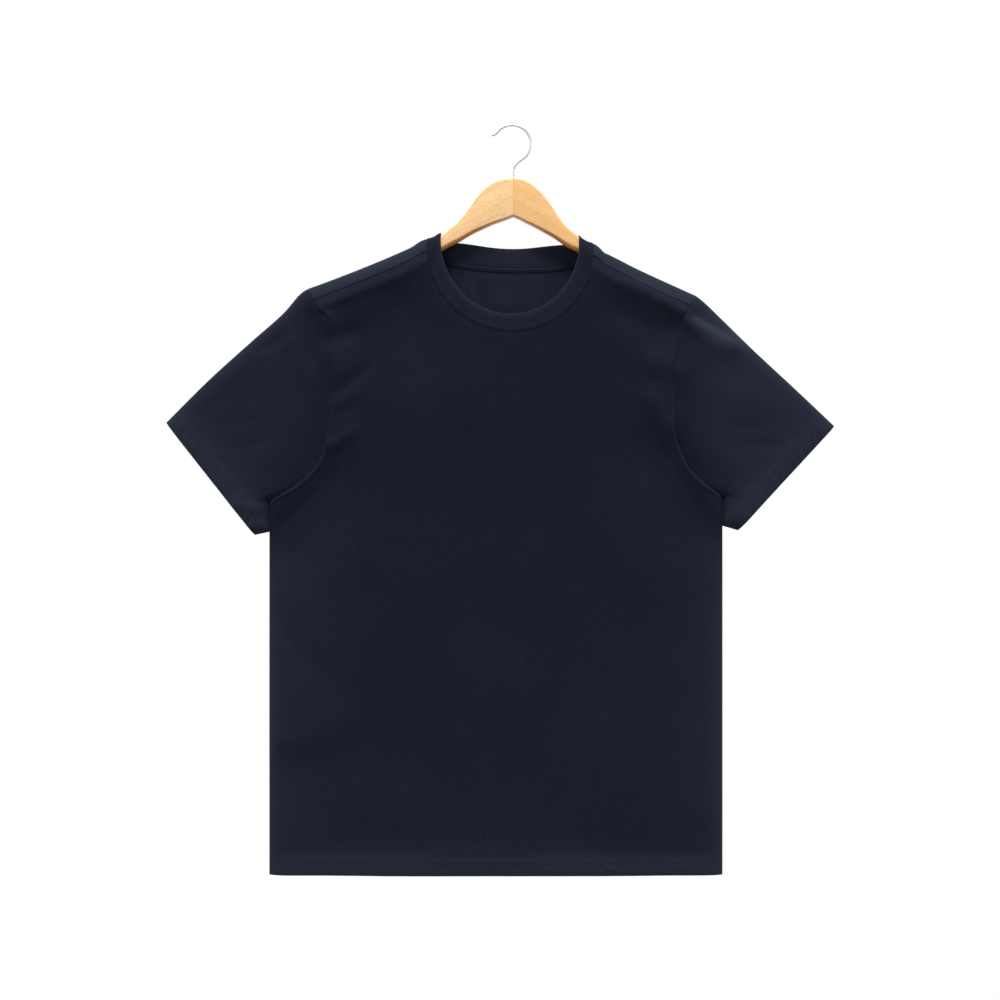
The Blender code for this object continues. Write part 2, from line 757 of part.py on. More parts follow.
def make_arm(side, material, bore):
    bm = bmesh.new()
    sections = arm_sections(side)
    rows = [arm_outline(section, side) for section in sections]
    end = sections[-1]
    for share in ARM_TIP_SHARES:
        drop = ARM_TIP_DROP * share
        tip = ArmSection(end.reach + ARM_TIP_LENGTH * share, end.top - drop, end.bottom - 0.5 * drop)
        rows.append(arm_outline(tip, side, math.sqrt(max(1.0 - share**2, ARM_TIP_LEAST))))
    grid = add_grid(bm, rows, closed=True)
    bm.faces.new(reversed(grid[0]))
    bm.faces.new(grid[-1])
    if side == "left":
        bmesh.ops.reverse_faces(bm, faces=bm.faces)
    mesh = bpy.data.meshes.new(f"hanger_{side}")
    bm.to_mesh(mesh)
    bm.free()
    arm = new_object(f"hanger_{side}", mesh, material)
    cut = arm.modifiers.new("bore", "BOOLEAN")
    cut.operation = "DIFFERENCE"
    cut.object = bore
    return arm


def make_bore():
    """The cutter of the hole for the hook's stem, half of it in each arm."""
    length = STEM_DEPTH + BORE_ABOVE_WOOD
    top = ARM_INNER["left"][0].top + BORE_ABOVE_WOOD
    bpy.ops.mesh.primitive_cylinder_add(
        vertices=12,
        radius=(WIRE_RADIUS + GAP) * MM,
        depth=length * MM,
        location=(HANGER_X * MM, 0.0, (top - 0.5 * length) * MM),
    )
    bore = bpy.context.object
    bore.name = "bore_cutter"
    bore.hide_render = True
    bore.display_type = "WIRE"
    return bore


def hook_places():
    """The wire's middle line: stem, slanting shank, the round loop and its flicked tip."""
    centre_z = WIRE_RADIUS - LOOP_RADIUS
    bottom = ARM_INNER["left"][0].top - STEM_DEPTH + GAP
    places = [Place(HANGER_X, bottom), *HOOK_SHANK]
    for angle in HOOK_LOOP_ANGLES:
        turn = math.radians(angle)
        x = LOOP_RADIUS * math.cos(turn)
        places.append(Place(x, centre_z + LOOP_RADIUS * math.sin(turn)))
    return places + list(HOOK_TIP)


def make_hook(material):
    curve = bpy.data.curves.new("hook", "CURVE")
    curve.dimensions = "3D"
    curve.bevel_depth = WIRE_RADIUS * MM
    curve.bevel_resolution = 2
    curve.use_fill_caps = True
    places = hook_places()
    spline = curve.splines.new("POLY")
    spline.points.add(len(places) - 1)
    for point, place in zip(spline.points, places):
        point.co = (place.x * MM, 0.0, place.z * MM, 1.0)
    curve.materials.append(material)
    hook = bpy.data.objects.new("hook", curve)
    bpy.context.collection.objects.link(hook)
    return hook


def main():
    for thing in list(bpy.data.objects):
        bpy.data.objects.remove(thing, do_unlink=True)
    jersey = new_material("navy single jersey", (0.012, 0.014, 0.026), 0.9)
    rib = new_material("navy rib knit", (0.011, 0.013, 0.024), 0.9)
    wood = new_material("clear lacquered maple", (0.80, 0.53, 0.25), 0.45)
    steel = new_material("chromed steel wire", (0.72, 0.72, 0.74), 0.2, 1.0)
    make_front(jersey)
    make_back(jersey)
    for side in SIDES:
        make_sleeve(side, jersey)
    make_neckband(rib)
    make_neck_tape(jersey)
    bore = make_bore()
    for side in SIDES:
        make_arm(side, wood, bore)
    make_hook(steel)


main()
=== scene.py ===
"""Looks of a navy crew neck t-shirt that hangs on a wooden hanger.

Every cut piece of jersey is its own thin shell on the form of its solid, with its creases listed
one by one. Sizes are in millimetres until a mesh is made. The origin is the inner top of the
hook's loop, +X the viewer's right, +Y the back of the garment and +Z up.
"""

import math
from collections import namedtuple

import bmesh
import bpy
import numpy as np
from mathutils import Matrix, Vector, noise

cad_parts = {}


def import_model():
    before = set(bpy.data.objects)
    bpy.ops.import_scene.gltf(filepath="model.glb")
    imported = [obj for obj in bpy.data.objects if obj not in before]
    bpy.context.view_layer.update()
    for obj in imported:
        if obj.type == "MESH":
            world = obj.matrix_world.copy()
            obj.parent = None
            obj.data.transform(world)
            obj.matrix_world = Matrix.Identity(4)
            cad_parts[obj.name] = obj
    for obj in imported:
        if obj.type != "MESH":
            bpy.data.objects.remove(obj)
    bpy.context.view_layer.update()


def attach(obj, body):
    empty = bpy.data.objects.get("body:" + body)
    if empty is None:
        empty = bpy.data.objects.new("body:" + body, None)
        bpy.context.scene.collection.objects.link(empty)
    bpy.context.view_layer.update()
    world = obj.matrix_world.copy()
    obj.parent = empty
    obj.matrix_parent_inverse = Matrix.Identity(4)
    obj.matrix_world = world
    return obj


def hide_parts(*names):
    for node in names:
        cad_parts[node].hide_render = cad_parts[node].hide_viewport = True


MM = 0.001
FULL_TURN = 2 * math.pi
SIDES = ("left", "right")
TOWARDS = {"front": -1, "back": 1}
OUTWARD = {"left": -1, "right": 1}

# Cloth walls: single jersey, the same at a side fold, the turned-up hem, the folded rib, how much
# thinner it is at its top fold, and the tape
JERSEY = 1
FOLD_WALL = 0.5
HEM_WALL = 2
RIB_WALL = 2
RIB_THINNING = 0.6
TAPE_WALL = 0.6

# Body: its lower edge, the hem's turned-up depth and how high its relief reaches, and its sides.
# Below UNDERARM_Z the two panels meet in the side folds, and each keeps to its own half.
HEM_Z = -860
HEM_DEPTH = 20
HEM_REACH = 45
SIDE_X = {"left": -279, "right": 242}
SIDE_ROUND = 20
BODY_CENTRE = 0.5 * (SIDE_X["left"] + SIDE_X["right"])
BODY_HALF = 0.5 * (SIDE_X["right"] - SIDE_X["left"])
UNDERARM_Z = -415

# Shoulders: the ridge is the top fold over the hanger, and the seam lies in front of it.
# The cloth rounds over within RIDGE_SOFT below it, and the neck's curve starts at RIDGE_ROUND.
RIDGE_ROUND = 9
SEAM_DROP = 17.5
RIDGE_SOFT = 16

# Neck: half widths and the lowest heights of the band's two edges, front and back. At the back
# the band's top stands a little higher half way up each side.
NECK_X = -2.5
NeckEdge = namedtuple("NeckEdge", "half_width front_z back_z")
NECK_SEAM = NeckEdge(95.5, -237, -160)
NECK_TOP = NeckEdge(79.5, -217.5, -139.5)
BAND_RISE = 3.5

# Sleeves: the armhole seam spans this share of the cuff, and the fold under the arm the rest
CUFF_HEM = 21.5
SLEEVE_HALF_DEPTH = 7.5
SLEEVE_ROUND = 20
CUFF_SHARE_OF_SEAM = 0.8

# Hanger and hook. Pairs go from the neck outwards, but the end's drops are its top's and bottom's.
HANGER_X = 1.5
ARM_HALF = 6.5
ARM_TOP_ROUND = 2.6
ARM_BOTTOM_ROUNDS = (0.9, 4.8)
ARM_BOTTOM_SOFT_FROM = 60
ARM_UNDER_CLOTH = (3.4, 4.8)
ARM_HEIGHTS = (17, 14)
ARM_END_LENGTH = 8
ARM_END_DROPS = (3.6, 1.8)
ARM_END_SHRINK = 6
ARM_END_SHARES = (0.3, 0.55, 0.78, 0.93, 0.985)
WIRE_RADIUS = 1.3
LOOP_RADIUS = 21.6

# Sewing: the needle rows' distances from an edge or a seam, and the thread
NEEDLES = (15.4, 19.3)
NECK_NEEDLE = 3.2
SHOULDER_NEEDLES = (3, 6.6)
STITCH_PITCH = 3.7
STITCH_LENGTH = 2.7
THREAD_RADIUS = 0.24
THREAD_STANDS_OUT = 0.05

# Puckers across an armhole seam: height, pitch, how the pitch wanders, and how uneven they are
Pucker = namedtuple("Pucker", "height pitch wander_size wander_seed least uneven_size uneven_seed")
BODY_PUCKER = Pucker(0.45, 10.5, 30, 4, 0.4, 55, 8)
SLEEVE_PUCKER = Pucker(0.48, 11, 26, 2, 0.5, 60, 1)
ARMHOLE_SINK = (0.6, 0.3)
SEAM_SINK = 0.5

# Painted light: how far the colour goes towards the lighter tone. 1 is all the way, and more is
# lighter.
# PURL_SIDE is the knit's own paler inner face; the rest are painted highlights and painted light.
PURL_SIDE = 0.55
SHOULDER_HIGHLIGHT = 0.8
STRIP_HIGHLIGHT = 1.2
BAND_INSIDE_LIGHT = 0.8
FOLD_HIGHLIGHT = 0.8
SLEEVE_LIGHT = {"left": 0.3, "right": 0.5}
CREST_HIGHLIGHT = 0.44
# Where it lies: widths in mm, the x of a painted crest highlight, the height of painted underarm
# shade
SLEEVE_TOP_HIGHLIGHT = {"left": 9, "right": 20}
HEM_LIGHT = 28
CUFF_LIGHT = 34
CREST_END = 258
UNDERARM_SHADE = -455

# Lines of the outline and the seams, as x and z
SHOULDER_RIDGE = {
    "left": ((-240, -189), (-219, -181.5), (-171, -163), (-127, -144.5),
             (-114, -138.3), (-107.8, -133.9), (-101.3, -130.6), (-95, -129.2),
             (-88.5, -126.6), (-82, -122.4)),
    "right": ((212, -195.5), (181, -181.5), (141, -163), (125, -154.8),
              (112, -148.2), (105.7, -145.2), (100.5, -139.8), (95.5, -136),
              (86.5, -132.6), (80.2, -128.6), (77, -125)),
}
# The wood's own line under the cloth, before it drops clear of it
WOOD_RIDGE = (
    (-240, -189), (-219, -181.5), (-171, -163), (-127, -144.5), (-102, -132.2),
    (-82, -124), (77, -125.4), (88, -134), (98, -139.5), (106, -145.6),
    (114, -149.7), (141, -163), (181, -181.5), (212, -195.5),
)
ARMHOLE = {
    "left": ((-234, -186.5), (-221.5, -210), (-208.5, -229), (-206.5, -262),
             (-208, -313), (-211, -352), (-218.5, -380), (-231.5, -398),
             (-249.5, -414), (-279, -432)),
    "right": ((211.5, -195), (206, -203), (194.5, -220), (190, -246),
              (185.5, -287), (186.5, -346), (199, -385), (217.5, -408),
              (242, -427)),
}
SLEEVE_TOP = {
    "left": ((-234.4, -186.5), (-241.5, -190.6), (-262, -213.6), (-298, -246),
             (-348.5, -292), (-397.3, -340.6)),
    "right": ((211.9, -195), (218.5, -200), (238, -218.5), (277, -257),
              (326.5, -303.3), (370.3, -344.7)),
}
SLEEVE_UNDER = {
    "left": ((-278.6, -432.4), (-277.2, -466), (-295.6, -470)),
    "right": ((241.6, -427.4), (240.2, -459), (259.6, -464.6)),
}
# Half the cloth's depth at each height: near its edges, and half way across
Depth = namedtuple("Depth", "z edge middle")
DEPTHS = (
    Depth(-860, 6, 9.5),
    Depth(-640, 7.5, 12),
    Depth(-430, 8.5, 13),
    Depth(-300, 9.6, 12),
    Depth(-190, 10, 10.8),
    Depth(-120, 10, 10.2),
)

# Creases: from x and z, through a place, to an end, how wide each is to the left and right of
# that run, and how far it rises or sinks
Crease = namedtuple("Crease", "x z through_x through_z end_x end_z left right rise")
FRONT_CREASES = (
    # chest: it falls back below both shoulder seams, where the cloth leaves the hanger
    (-83, -188, -143, -217, -212, -269, 64, 22, -6.6),
    (-124, -172, -170, -197, -218, -225, 16, 13, -2.4),
    (85, -191, 147, -225, 207, -255, 15, 20, -4.4),
    (115, -172, 166, -196, 209, -220, 8, 7, 1.8),
    # short creases that spread from the left armhole seam
    (-232, -207, -217, -215, -198, -226, 3.5, 3.5, 1.6),
    (-228, -249, -205, -246, -168, -230, 11, 9, -3.8),
    (-221, -311, -191, -300, -152, -264, 9, 7, -3.4),
    (-216, -334, -198, -331, -170, -317, 5, 5, -1.5),
    (-223, -375, -200, -363, -170, -344, 6, 7, 3),
    # drag from the left underarm: a steep side by the seam, and a slow rise beyond it
    (-181, -349, -221, -425, -315, -513, 52, 19, -9.4),
    (-216, -464, -198, -425, -182, -388, 8, 8, 1.1),
    (-191, -444, -175, -409, -156, -379, 7, 7, 0.8),
    (-184, -499, -172, -464, -166, -430, 9, 9, 0.7),
    # drag from the right underarm, and the ridge that runs into the seam
    (138, -296, 166, -324, 191, -370, 10, 13, 2.6),
    (151, -312, 186, -409, 274, -513, 19, 52, -9.4),
    (216, -437, 225, -453, 235, -476, 4, 4, 1.2),
    (136, -271, 172, -276, 216, -283, 13, 12, 2.4),
    # body: a few broad, low swells
    (-359, -694, -244, -699, -172, -653, 105, 26, 6.2),
    (-129, -828, -30, -832, 62, -828, 46, 16, 2.4),
    (55, -522, 170, -499, 331, -453, 60, 44, 3.6),
    (55, -775, 170, -782, 331, -740, 110, 50, 4.8),
    (-209, -729, -152, -715, -71, -720, 40, 52, -2.4),
    (-140, -361, -60, -315, -14, -310, 60, 40, 2.4),
    (-83, -234, -69, -280, -62, -338, 16, 16, 0.8),
    (46, -234, 39, -292, 46, -361, 20, 20, 0.9),
    (-30, -241, -25, -283, -16, -338, 8, 8, -0.6),
    (7, -243, 9, -276, 5, -315, 8, 8, -0.6),
    # left sleeve
    (-230, -200, -225, -243, -232, -292, 8, 8, -3),
    (-262, -202, -251, -253, -223, -306, 9, 9, 1.2),
    (-306, -262, -283, -255, -255, -239, 8, 7, -1.3),
    (-244, -234, -260, -257, -281, -269, 8, 8, 0.9),
    (-216, -342, -230, -388, -264, -421, 9, 13, -2.6),
    (-244, -317, -262, -361, -288, -395, 12, 15, 1.1),
    (-329, -434, -304, -437, -281, -444, 6, 6, 1.3),
    (-315, -455, -297, -452, -276, -449, 6, 6, -1.6),
    (-363, -319, -313, -315, -258, -308, 5, 5, -0.55),
    (-354, -345, -313, -341, -262, -334, 5, 5, -0.55),
    (-334, -371, -306, -368, -267, -358, 5, 5, -0.5),
    (-352, -296, -322, -283, -288, -271, 9, 9, 0.8),
    # right sleeve: a long valley from the shoulder, with a full ridge above it
    (172, -220, 198, -237, 225, -255, 9, 10, -2.8),
    (184, -214, 232, -241, 276, -264, 9, 18, 6.6),
    (216, -315, 262, -310, 320, -338, 20, 26, 1.6),
    (283, -285, 320, -315, 359, -349, 5, 12, -0.9),
    (184, -335, 202, -386, 230, -414, 10, 6, -2.8),
    (186, -319, 198, -338, 216, -347, 7, 7, 0.9),
    (260, -370, 285, -368, 317, -370, 5, 5, -1),
    (239, -342, 267, -347, 297, -342, 6, 6, -0.5),
    (221, -375, 248, -386, 264, -407, 9, 9, 0.8),
)
BACK_CREASES = (
    # body: drags from both arms and from the hanger, and its own swells
    (-71, -156, -133, -188, -209, -246, 44, 26, -2.4),
    (78, -163, 147, -200, 198, -246, 26, 40, -2.4),
    (179, -243, 189, -264, 184, -312, 11, 11, -2),
    (166, -257, 156, -292, 163, -347, 9, 14, 2.2),
    (-175, -361, -205, -425, -278, -494, 46, 22, -6.2),
    (147, -338, 179, -421, 239, -506, 22, 46, -6.2),
    (-202, -319, -184, -342, -145, -361, 8, 9, 1.8),
    (-209, -338, -189, -375, -184, -430, 10, 10, 1),
    (147, -476, 161, -430, 179, -395, 9, 9, 1),
    (175, -299, 156, -326, 129, -349, 8, 8, -1.5),
    (-53, -172, -48, -200, -56, -269, 7, 7, -1.7),
    (-33, -168, -38, -195, -34, -246, 5, 5, 1.3),
    (-7, -172, -17, -200, -14, -257, 6, 6, -0.9),
    (12, -170, 14, -188, 16, -234, 6, 6, 1.5),
    (28, -172, 30, -200, 21, -246, 6, 6, -1.4),
    (51, -165, 55, -200, 84, -269, 9, 9, 1.1),
    (-41, -195, -14, -188, 16, -197, 6, 6, 0.8),
    (-301, -591, -198, -602, -106, -556, 70, 36, 3),
    (55, -660, 124, -678, 262, -648, 90, 34, 3.2),
    (-94, -499, -48, -591, -60, -729, 40, 52, -1.6),
    (124, -499, 101, -614, 147, -763, 44, 36, 1.4),
    # left sleeve
    (-301, -280, -267, -306, -232, -338, 13, 10, -3),
    (-343, -315, -301, -342, -253, -375, 10, 12, 1.7),
    (-232, -200, -225, -234, -218, -269, 8, 8, -1.8),
    (-218, -352, -235, -391, -264, -418, 9, 12, -2.4),
    (-363, -329, -340, -361, -322, -395, 10, 10, -0.8),
    # right sleeve
    (216, -338, 251, -310, 297, -276, 10, 14, -3),
    (235, -379, 281, -347, 327, -310, 12, 10, 1.7),
    (205, -207, 202, -239, 193, -276, 8, 8, -1.8),
    (189, -342, 205, -388, 232, -416, 12, 8, -2.4),
)
CREASE_POINTS = 9
CREASE_TAPER = 0.35

# How far from the middle the cloth is held: over the hanger's arms, and below them
HANGER_ROOM = 8.1
LEAST_ROOM = 1.6

# Bare wood by the neck: reach from the mitre, and the heights of the top and bottom edges
Section = namedtuple("Section", "reach top bottom")
ARM_BARE = {
    "left": ((0, -60.5, -103.5), (9, -61, -107.2), (16, -62.8, -109.8),
             (23, -65.6, -112.4), (31, -71, -116.2), (38, -77.9, -119.6),
             (44, -84.8, -122.4), (51, -95.1, -126.4), (62, -108.9, -132.8),
             (71, -117, -137.2)),
    "right": ((0, -60.5, -103.5), (8, -61.4, -107), (14, -63.8, -110.4),
              (20, -67, -113.4), (26, -71.8, -116.6), (33, -78.6, -120.6),
              (39, -85.8, -124), (46, -96, -128.2), (55, -109.4, -134.2),
              (63, -118.4, -139.4)),
}
# The reach at which each arm goes under the cloth, and at which its rounded end starts
ARM_COVERED = {"left": (84, 206), "right": (76, 201)}
# The hook's middle line below its round loop, and its flicked tip
HOOK_SHANK = ((1.5, -84), (1.5, -54), (1.7, -50.5), (3.1, -47), (5.8, -43))
HOOK_TIP = ((-18.4, -8.6), (-20.6, -10), (-23.6, -10.6))


# ---- curves


def smooth_line(pairs):
    """Return a function through (x, y) pairs that never overshoots between them."""
    xs, ys = np.array(sorted(pairs), float).T
    spans = np.diff(xs)
    steps = np.diff(ys) / spans
    product = steps[:-1] * steps[1:]
    total = np.where(product > 0, steps[:-1] + steps[1:], 1)
    inner = np.where(product > 0, 2 * product / total, 0)
    slopes = np.concatenate((steps[:1], inner, steps[-1:]))

    def value(x):
        x = np.clip(x, xs[0], xs[-1])
        i = np.clip(np.searchsorted(xs, x, side="right") - 1, 0, len(spans) - 1)
        t = (x - xs[i]) / spans[i]
        rise = (3 - 2 * t) * t * t
        bend = spans[i] * t * (1 - t)
        lean = (1 - t) * slopes[i] - t * slopes[i + 1]
        return ys[i] + (ys[i + 1] - ys[i]) * rise + bend * lean

    return value


def reached_along(points):
    """How far along a line of points each of them lies."""
    return np.concatenate(([0], np.cumsum(np.linalg.norm(np.diff(points, axis=0), axis=1))))


def path_along(places):
    """Return a function that gives x and z at a share, from 0 to 1, of a line's length."""
    reached = reached_along(places)
    x_line, z_line = [smooth_line(zip(reached, values)) for values in np.transpose(places)]
    return lambda share: (x_line(share * reached[-1]), z_line(share * reached[-1]))


def unit(vectors):
    return vectors / np.linalg.norm(vectors, axis=-1, keepdims=True)


def mix(a, b, share):
    return a + (b - a) * share


def ease(t):
    """Rise from 0 to 1 as t does, flat at both ends."""
    t = np.clip(t, 0, 1)
    return t * t * (3 - 2 * t)


def hump(distance, width):
    """1 at a line, falling softly to 0 over about twice this width."""
    return np.exp(-((distance / width) ** 2))


def round_over(distance, size):
    """Rise from 0 to 1 along a quarter ellipse over this distance from a fold."""
    return np.sqrt(1 - (1 - np.clip(distance / size, 0, 1)) ** 2)


def beside_line(x, z, line):
    """Each place's distance to a line of straight stretches, how far along it, and which side."""
    line = np.array(line, float)
    runs = np.diff(line, axis=0)
    lengths = np.hypot(*runs.T)
    reached = 0
    nearest = np.full(np.shape(x), np.inf)
    along, left = np.zeros(np.shape(x)), np.zeros(np.shape(x), bool)
    for start, run, length in zip(line, runs, lengths):
        part = ((x - start[0]) * run[0] + (z - start[1]) * run[1]) / length**2
        part = np.clip(part, 0, 1)
        away = np.hypot(x - start[0] - part * run[0], z - start[1] - part * run[1])
        along = np.where(away < nearest, reached + part * length, along)
        beside = run[0] * (z - start[1]) - run[1] * (x - start[0]) > 0
        left = np.where(away < nearest, beside, left)
        nearest = np.minimum(nearest, away)
        reached += length
    return nearest, along, left


def ripple(x, z, size, seed):
    """Smooth unevenness, about -0.5 to 0.5, in waves of about this size."""
    places = zip(np.ravel(x) / size, np.ravel(z) / size)
    return np.reshape([noise.noise((u, v, seed)) for u, v in places], np.shape(x))


edge_depth = smooth_line([(depth.z, depth.edge) for depth in DEPTHS])
middle_depth = smooth_line([(depth.z, depth.middle) for depth in DEPTHS])
ridge_line = smooth_line(SHOULDER_RIDGE["left"] + SHOULDER_RIDGE["right"])
wood_line = smooth_line(WOOD_RIDGE)
armhole_line = {side: smooth_line([(z, x) for x, z in ARMHOLE[side]]) for side in SIDES}
SEED = {"front": 3.7, "back": 11.2}


# ---- form of the cloth


def crease_rise(face, x, z):
    """How far the creases of one face lift or sink it. Each fades towards its ends."""
    total = np.zeros(np.shape(x))
    t = np.linspace(0, 1, CREASE_POINTS)[:, None]
    for row in {"front": FRONT_CREASES, "back": BACK_CREASES}[face]:
        crease = Crease(*row)
        start, through, end = np.reshape(crease[:6], (3, 2))
        bend = 2 * through - 0.5 * (start + end)
        line = (1 - t) ** 2 * start + 2 * t * (1 - t) * bend + t**2 * end
        away, along, left = beside_line(x, z, line)
        share = along / np.hypot(*np.diff(line, axis=0).T).sum()
        fade = ease(share / CREASE_TAPER) * ease((1 - share) / CREASE_TAPER)
        width = np.where(left, crease.left, crease.right)
        total += crease.rise * fade * hump(away, width)
    return total


def detail(face, x, z):
    """The creases, and the slight waves that a washed jersey always has."""
    waves = 1.5 * ripple(x, z, 120, SEED[face]) + 0.5 * ripple(x, z, 42, SEED[face] + 5)
    return crease_rise(face, x, z) + waves + 0.28 * ripple(x, z, 15, SEED[face] + 9)


def from_side(x):
    """How far in from the nearer side of the body."""
    return BODY_HALF - np.abs(x - BODY_CENTRE)


def plain_depth(x, z):
    """Half the body's depth before its creases."""
    across = np.clip(np.abs(x - BODY_CENTRE) / BODY_HALF, 0, 1)
    return mix(edge_depth(z), middle_depth(z), 1 - across**2)


def held_off(depth, room):
    """Keep cloth at least this far out, with no kink where the wood begins to hold it."""
    return room + 0.5 * np.logaddexp(0, 2 * (depth - room))


def half_depth(face, x, z):
    """Half the body's depth with its creases. The cloth stays clear of the hanger's arms."""
    below_arm = ease((ridge_line(x) - z - 21) / 14)
    room = mix(HANGER_ROOM, LEAST_ROOM, below_arm)
    depth = held_off(plain_depth(x, z) + detail(face, x, z), room)
    return depth * round_over(from_side(x), SIDE_ROUND)


def neck_place(edge, face, turn, gap=0):
    """A place on one edge of the neck, at a turn of 0 (left) to pi (right) round the opening."""
    half = edge.half_width + gap
    starts = [ridge_line(NECK_X - half) - RIDGE_ROUND, ridge_line(NECK_X + half) - RIDGE_ROUND]
    lowest = edge.front_z if face == "front" else edge.back_z
    drop = 0.5 * sum(starts) - lowest + gap
    x = NECK_X - half * np.cos(turn)
    z = mix(starts[0], starts[1], 0.5 - 0.5 * np.cos(turn)) - drop * np.sin(turn)
    return x, z


def neck_turns(face, count):
    """Turns of the neck's points, from shoulder seam to shoulder seam."""
    lowest = NECK_SEAM.front_z if face == "front" else NECK_SEAM.back_z
    drop = ridge_line(NECK_X - NECK_SEAM.half_width) - RIDGE_ROUND - lowest
    first = math.asin((SEAM_DROP - RIDGE_ROUND) / drop)
    return np.linspace(first, math.pi - first, count + 1)


def shoulder_place(side, face, share, drop):
    """Places below the ridge, at shares of the way from the armhole to the neck."""
    arm_x = armhole_line[side](ARMHOLE[side][0][1])
    # The seam's x depends on the height and the height on x, so a few rounds settle both
    for _ in range(6):
        arm_x = armhole_line[side](ridge_line(arm_x) - drop)
    neck_x = NECK_X + OUTWARD[side] * NECK_SEAM.half_width
    if drop > RIDGE_ROUND:
        neck_x = neck_place(NECK_SEAM, face, neck_turns(face, 1)[0 if side == "left" else 1])[0]
    x = mix(arm_x, neck_x, share)
    return x, ridge_line(x) - drop


def hem_roll(low, along, seed):
    """Height of the turned-up hem over the cloth, from the distance to its edge.

    It swells between its edge and the two rows of the twin needle, which sink, and the twist
    that the needles leave makes it ripple aslant.
    """
    swell = ease(low / 8) * ease((25 - low) / 8)
    rows = -0.14 * (hump(low - NEEDLES[0], 0.8) + hump(low - NEEDLES[1], 0.8))
    between = 0.1 * hump(low - 0.5 * sum(NEEDLES), 0.9)
    strength = 0.25 + 1.5 * np.clip(ripple(along, 0 * along, 70, seed) + 0.12, 0, 1)
    wander = 14 * ripple(along, 0 * along, 38, seed + 2)
    slant = np.sin(FULL_TURN * (along + 0.9 * low + wander) / 13)
    inside = ease(low / 4) * ease((NEEDLES[0] - low) / 5)
    above = np.where(low > NEEDLES[1], np.exp(-np.abs(low - NEEDLES[1]) / 6), 0)
    pucker = np.sin(FULL_TURN * (along + wander) / 9.5)
    fold = -1.1 * (1 - round_over(low, 1.6))
    wave = strength * (0.75 * inside * slant + 0.3 * above * pucker)
    return np.where(low < HEM_REACH, swell + rows + between + wave + fold, 0)


def seam_sink(away, depth):
    """The groove in which a sewn edge lies."""
    return -depth * hump(away, 1.4)


def seam_wave(along, away, wander, size, seed, pitch):
    """Waves of this pitch along a seam, which wander from their even places as cloth does."""
    return np.sin(FULL_TURN * (along + wander * ripple(along, away, size, seed)) / pitch)


def low_armhole(z):
    """0 along the upper armhole, rising to 1 in its lower half."""
    return ease((-300 - z) / 70)


def armhole_pucker(along, away, look):
    """Small folds across an armhole seam, uneven in strength."""
    wave = seam_wave(along, away, 8, look.wander_size, look.wander_seed, look.pitch)
    strength = look.least + ripple(along, away, look.uneven_size, look.uneven_seed)
    return look.height * wave * np.exp(-away / 9) * strength * (1 - hump(away, 2))


def body_surface(face, x, z):
    """Half depth of the front or back panel, with its hem and seams."""
    depth = half_depth(face, x, z)
    inside = np.clip(from_side(x), 0, SIDE_ROUND)
    low = z - HEM_Z
    relief = hem_roll(low, x, SEED[face]) * round_over(inside, SIDE_ROUND)
    for side in SIDES:
        away, along = beside_line(x, z, armhole_curve[side])[:2]
        lower = low_armhole(z) * (1 if face == "front" else 0.4)
        rope = 1.5 * lower * hump(away - 3, 2.8) * (1 - hump(away, 1.2))
        pucker = armhole_pucker(along, away, BODY_PUCKER)
        under = 1 - ease((away - 1) / 3) * ease((ARMHOLE[side][-1][1] + 16 - z) / 14)
        sink = seam_sink(away, mix(*ARMHOLE_SINK, lower))
        relief += (sink + rope + pucker) * under * ease((inside + 1) / 5)
    away, along = beside_line(x, z, neck_curve[face])[:2]
    pull = seam_wave(along, away, 10, 30, 6, 12)
    stitched = -0.35 * hump(away - NECK_NEEDLE, 0.8) + 0.3 * hump(away - 1.6, 0.9)
    relief += seam_sink(away, 0.2) + stitched + 0.14 * pull * np.exp(-away / 7)
    if face == "front":
        for side in SIDES:
            away = beside_line(x, z, shoulder_curve[side])[0]
            sunk = sum(hump(away - row, 0.9) for row in SHOULDER_NEEDLES)
            raised = hump(away - 0.5 * sum(SHOULDER_NEEDLES), 1.2) + hump(away - 1.6, 0.9)
            swell = 2 * hump(away - 10, 6)
            relief += seam_sink(away, 0.3) - 0.25 * sunk + 0.2 * raised + swell
    return depth + relief


armhole_curve = {
    side: np.column_stack(path_along(ARMHOLE[side])(np.linspace(0, 1, 60))) for side in SIDES
}
neck_curve = {
    face: np.column_stack(neck_place(NECK_SEAM, face, neck_turns(face, 70))) for face in TOWARDS
}
shoulder_curve = {
    side: np.column_stack(shoulder_place(side, "front", np.linspace(0, 1, 12), SEAM_DROP))
    for side in SIDES
}


# ---- meshes


def new_piece(name, mesh, material):
    piece = bpy.data.objects.new(name, mesh)
    bpy.context.collection.objects.link(piece)
    mesh.materials.append(material)
    mesh.shade_smooth()
    return piece


def as_grid(x, y, z, u, v, wall, painted_light_and_purl=0):
    """Stack a sheet's points with their place in the cloth, their wall and their painted light."""
    return np.stack(np.broadcast_arrays(x, y, z, u, v, wall, painted_light_and_purl), axis=-1).astype(float)


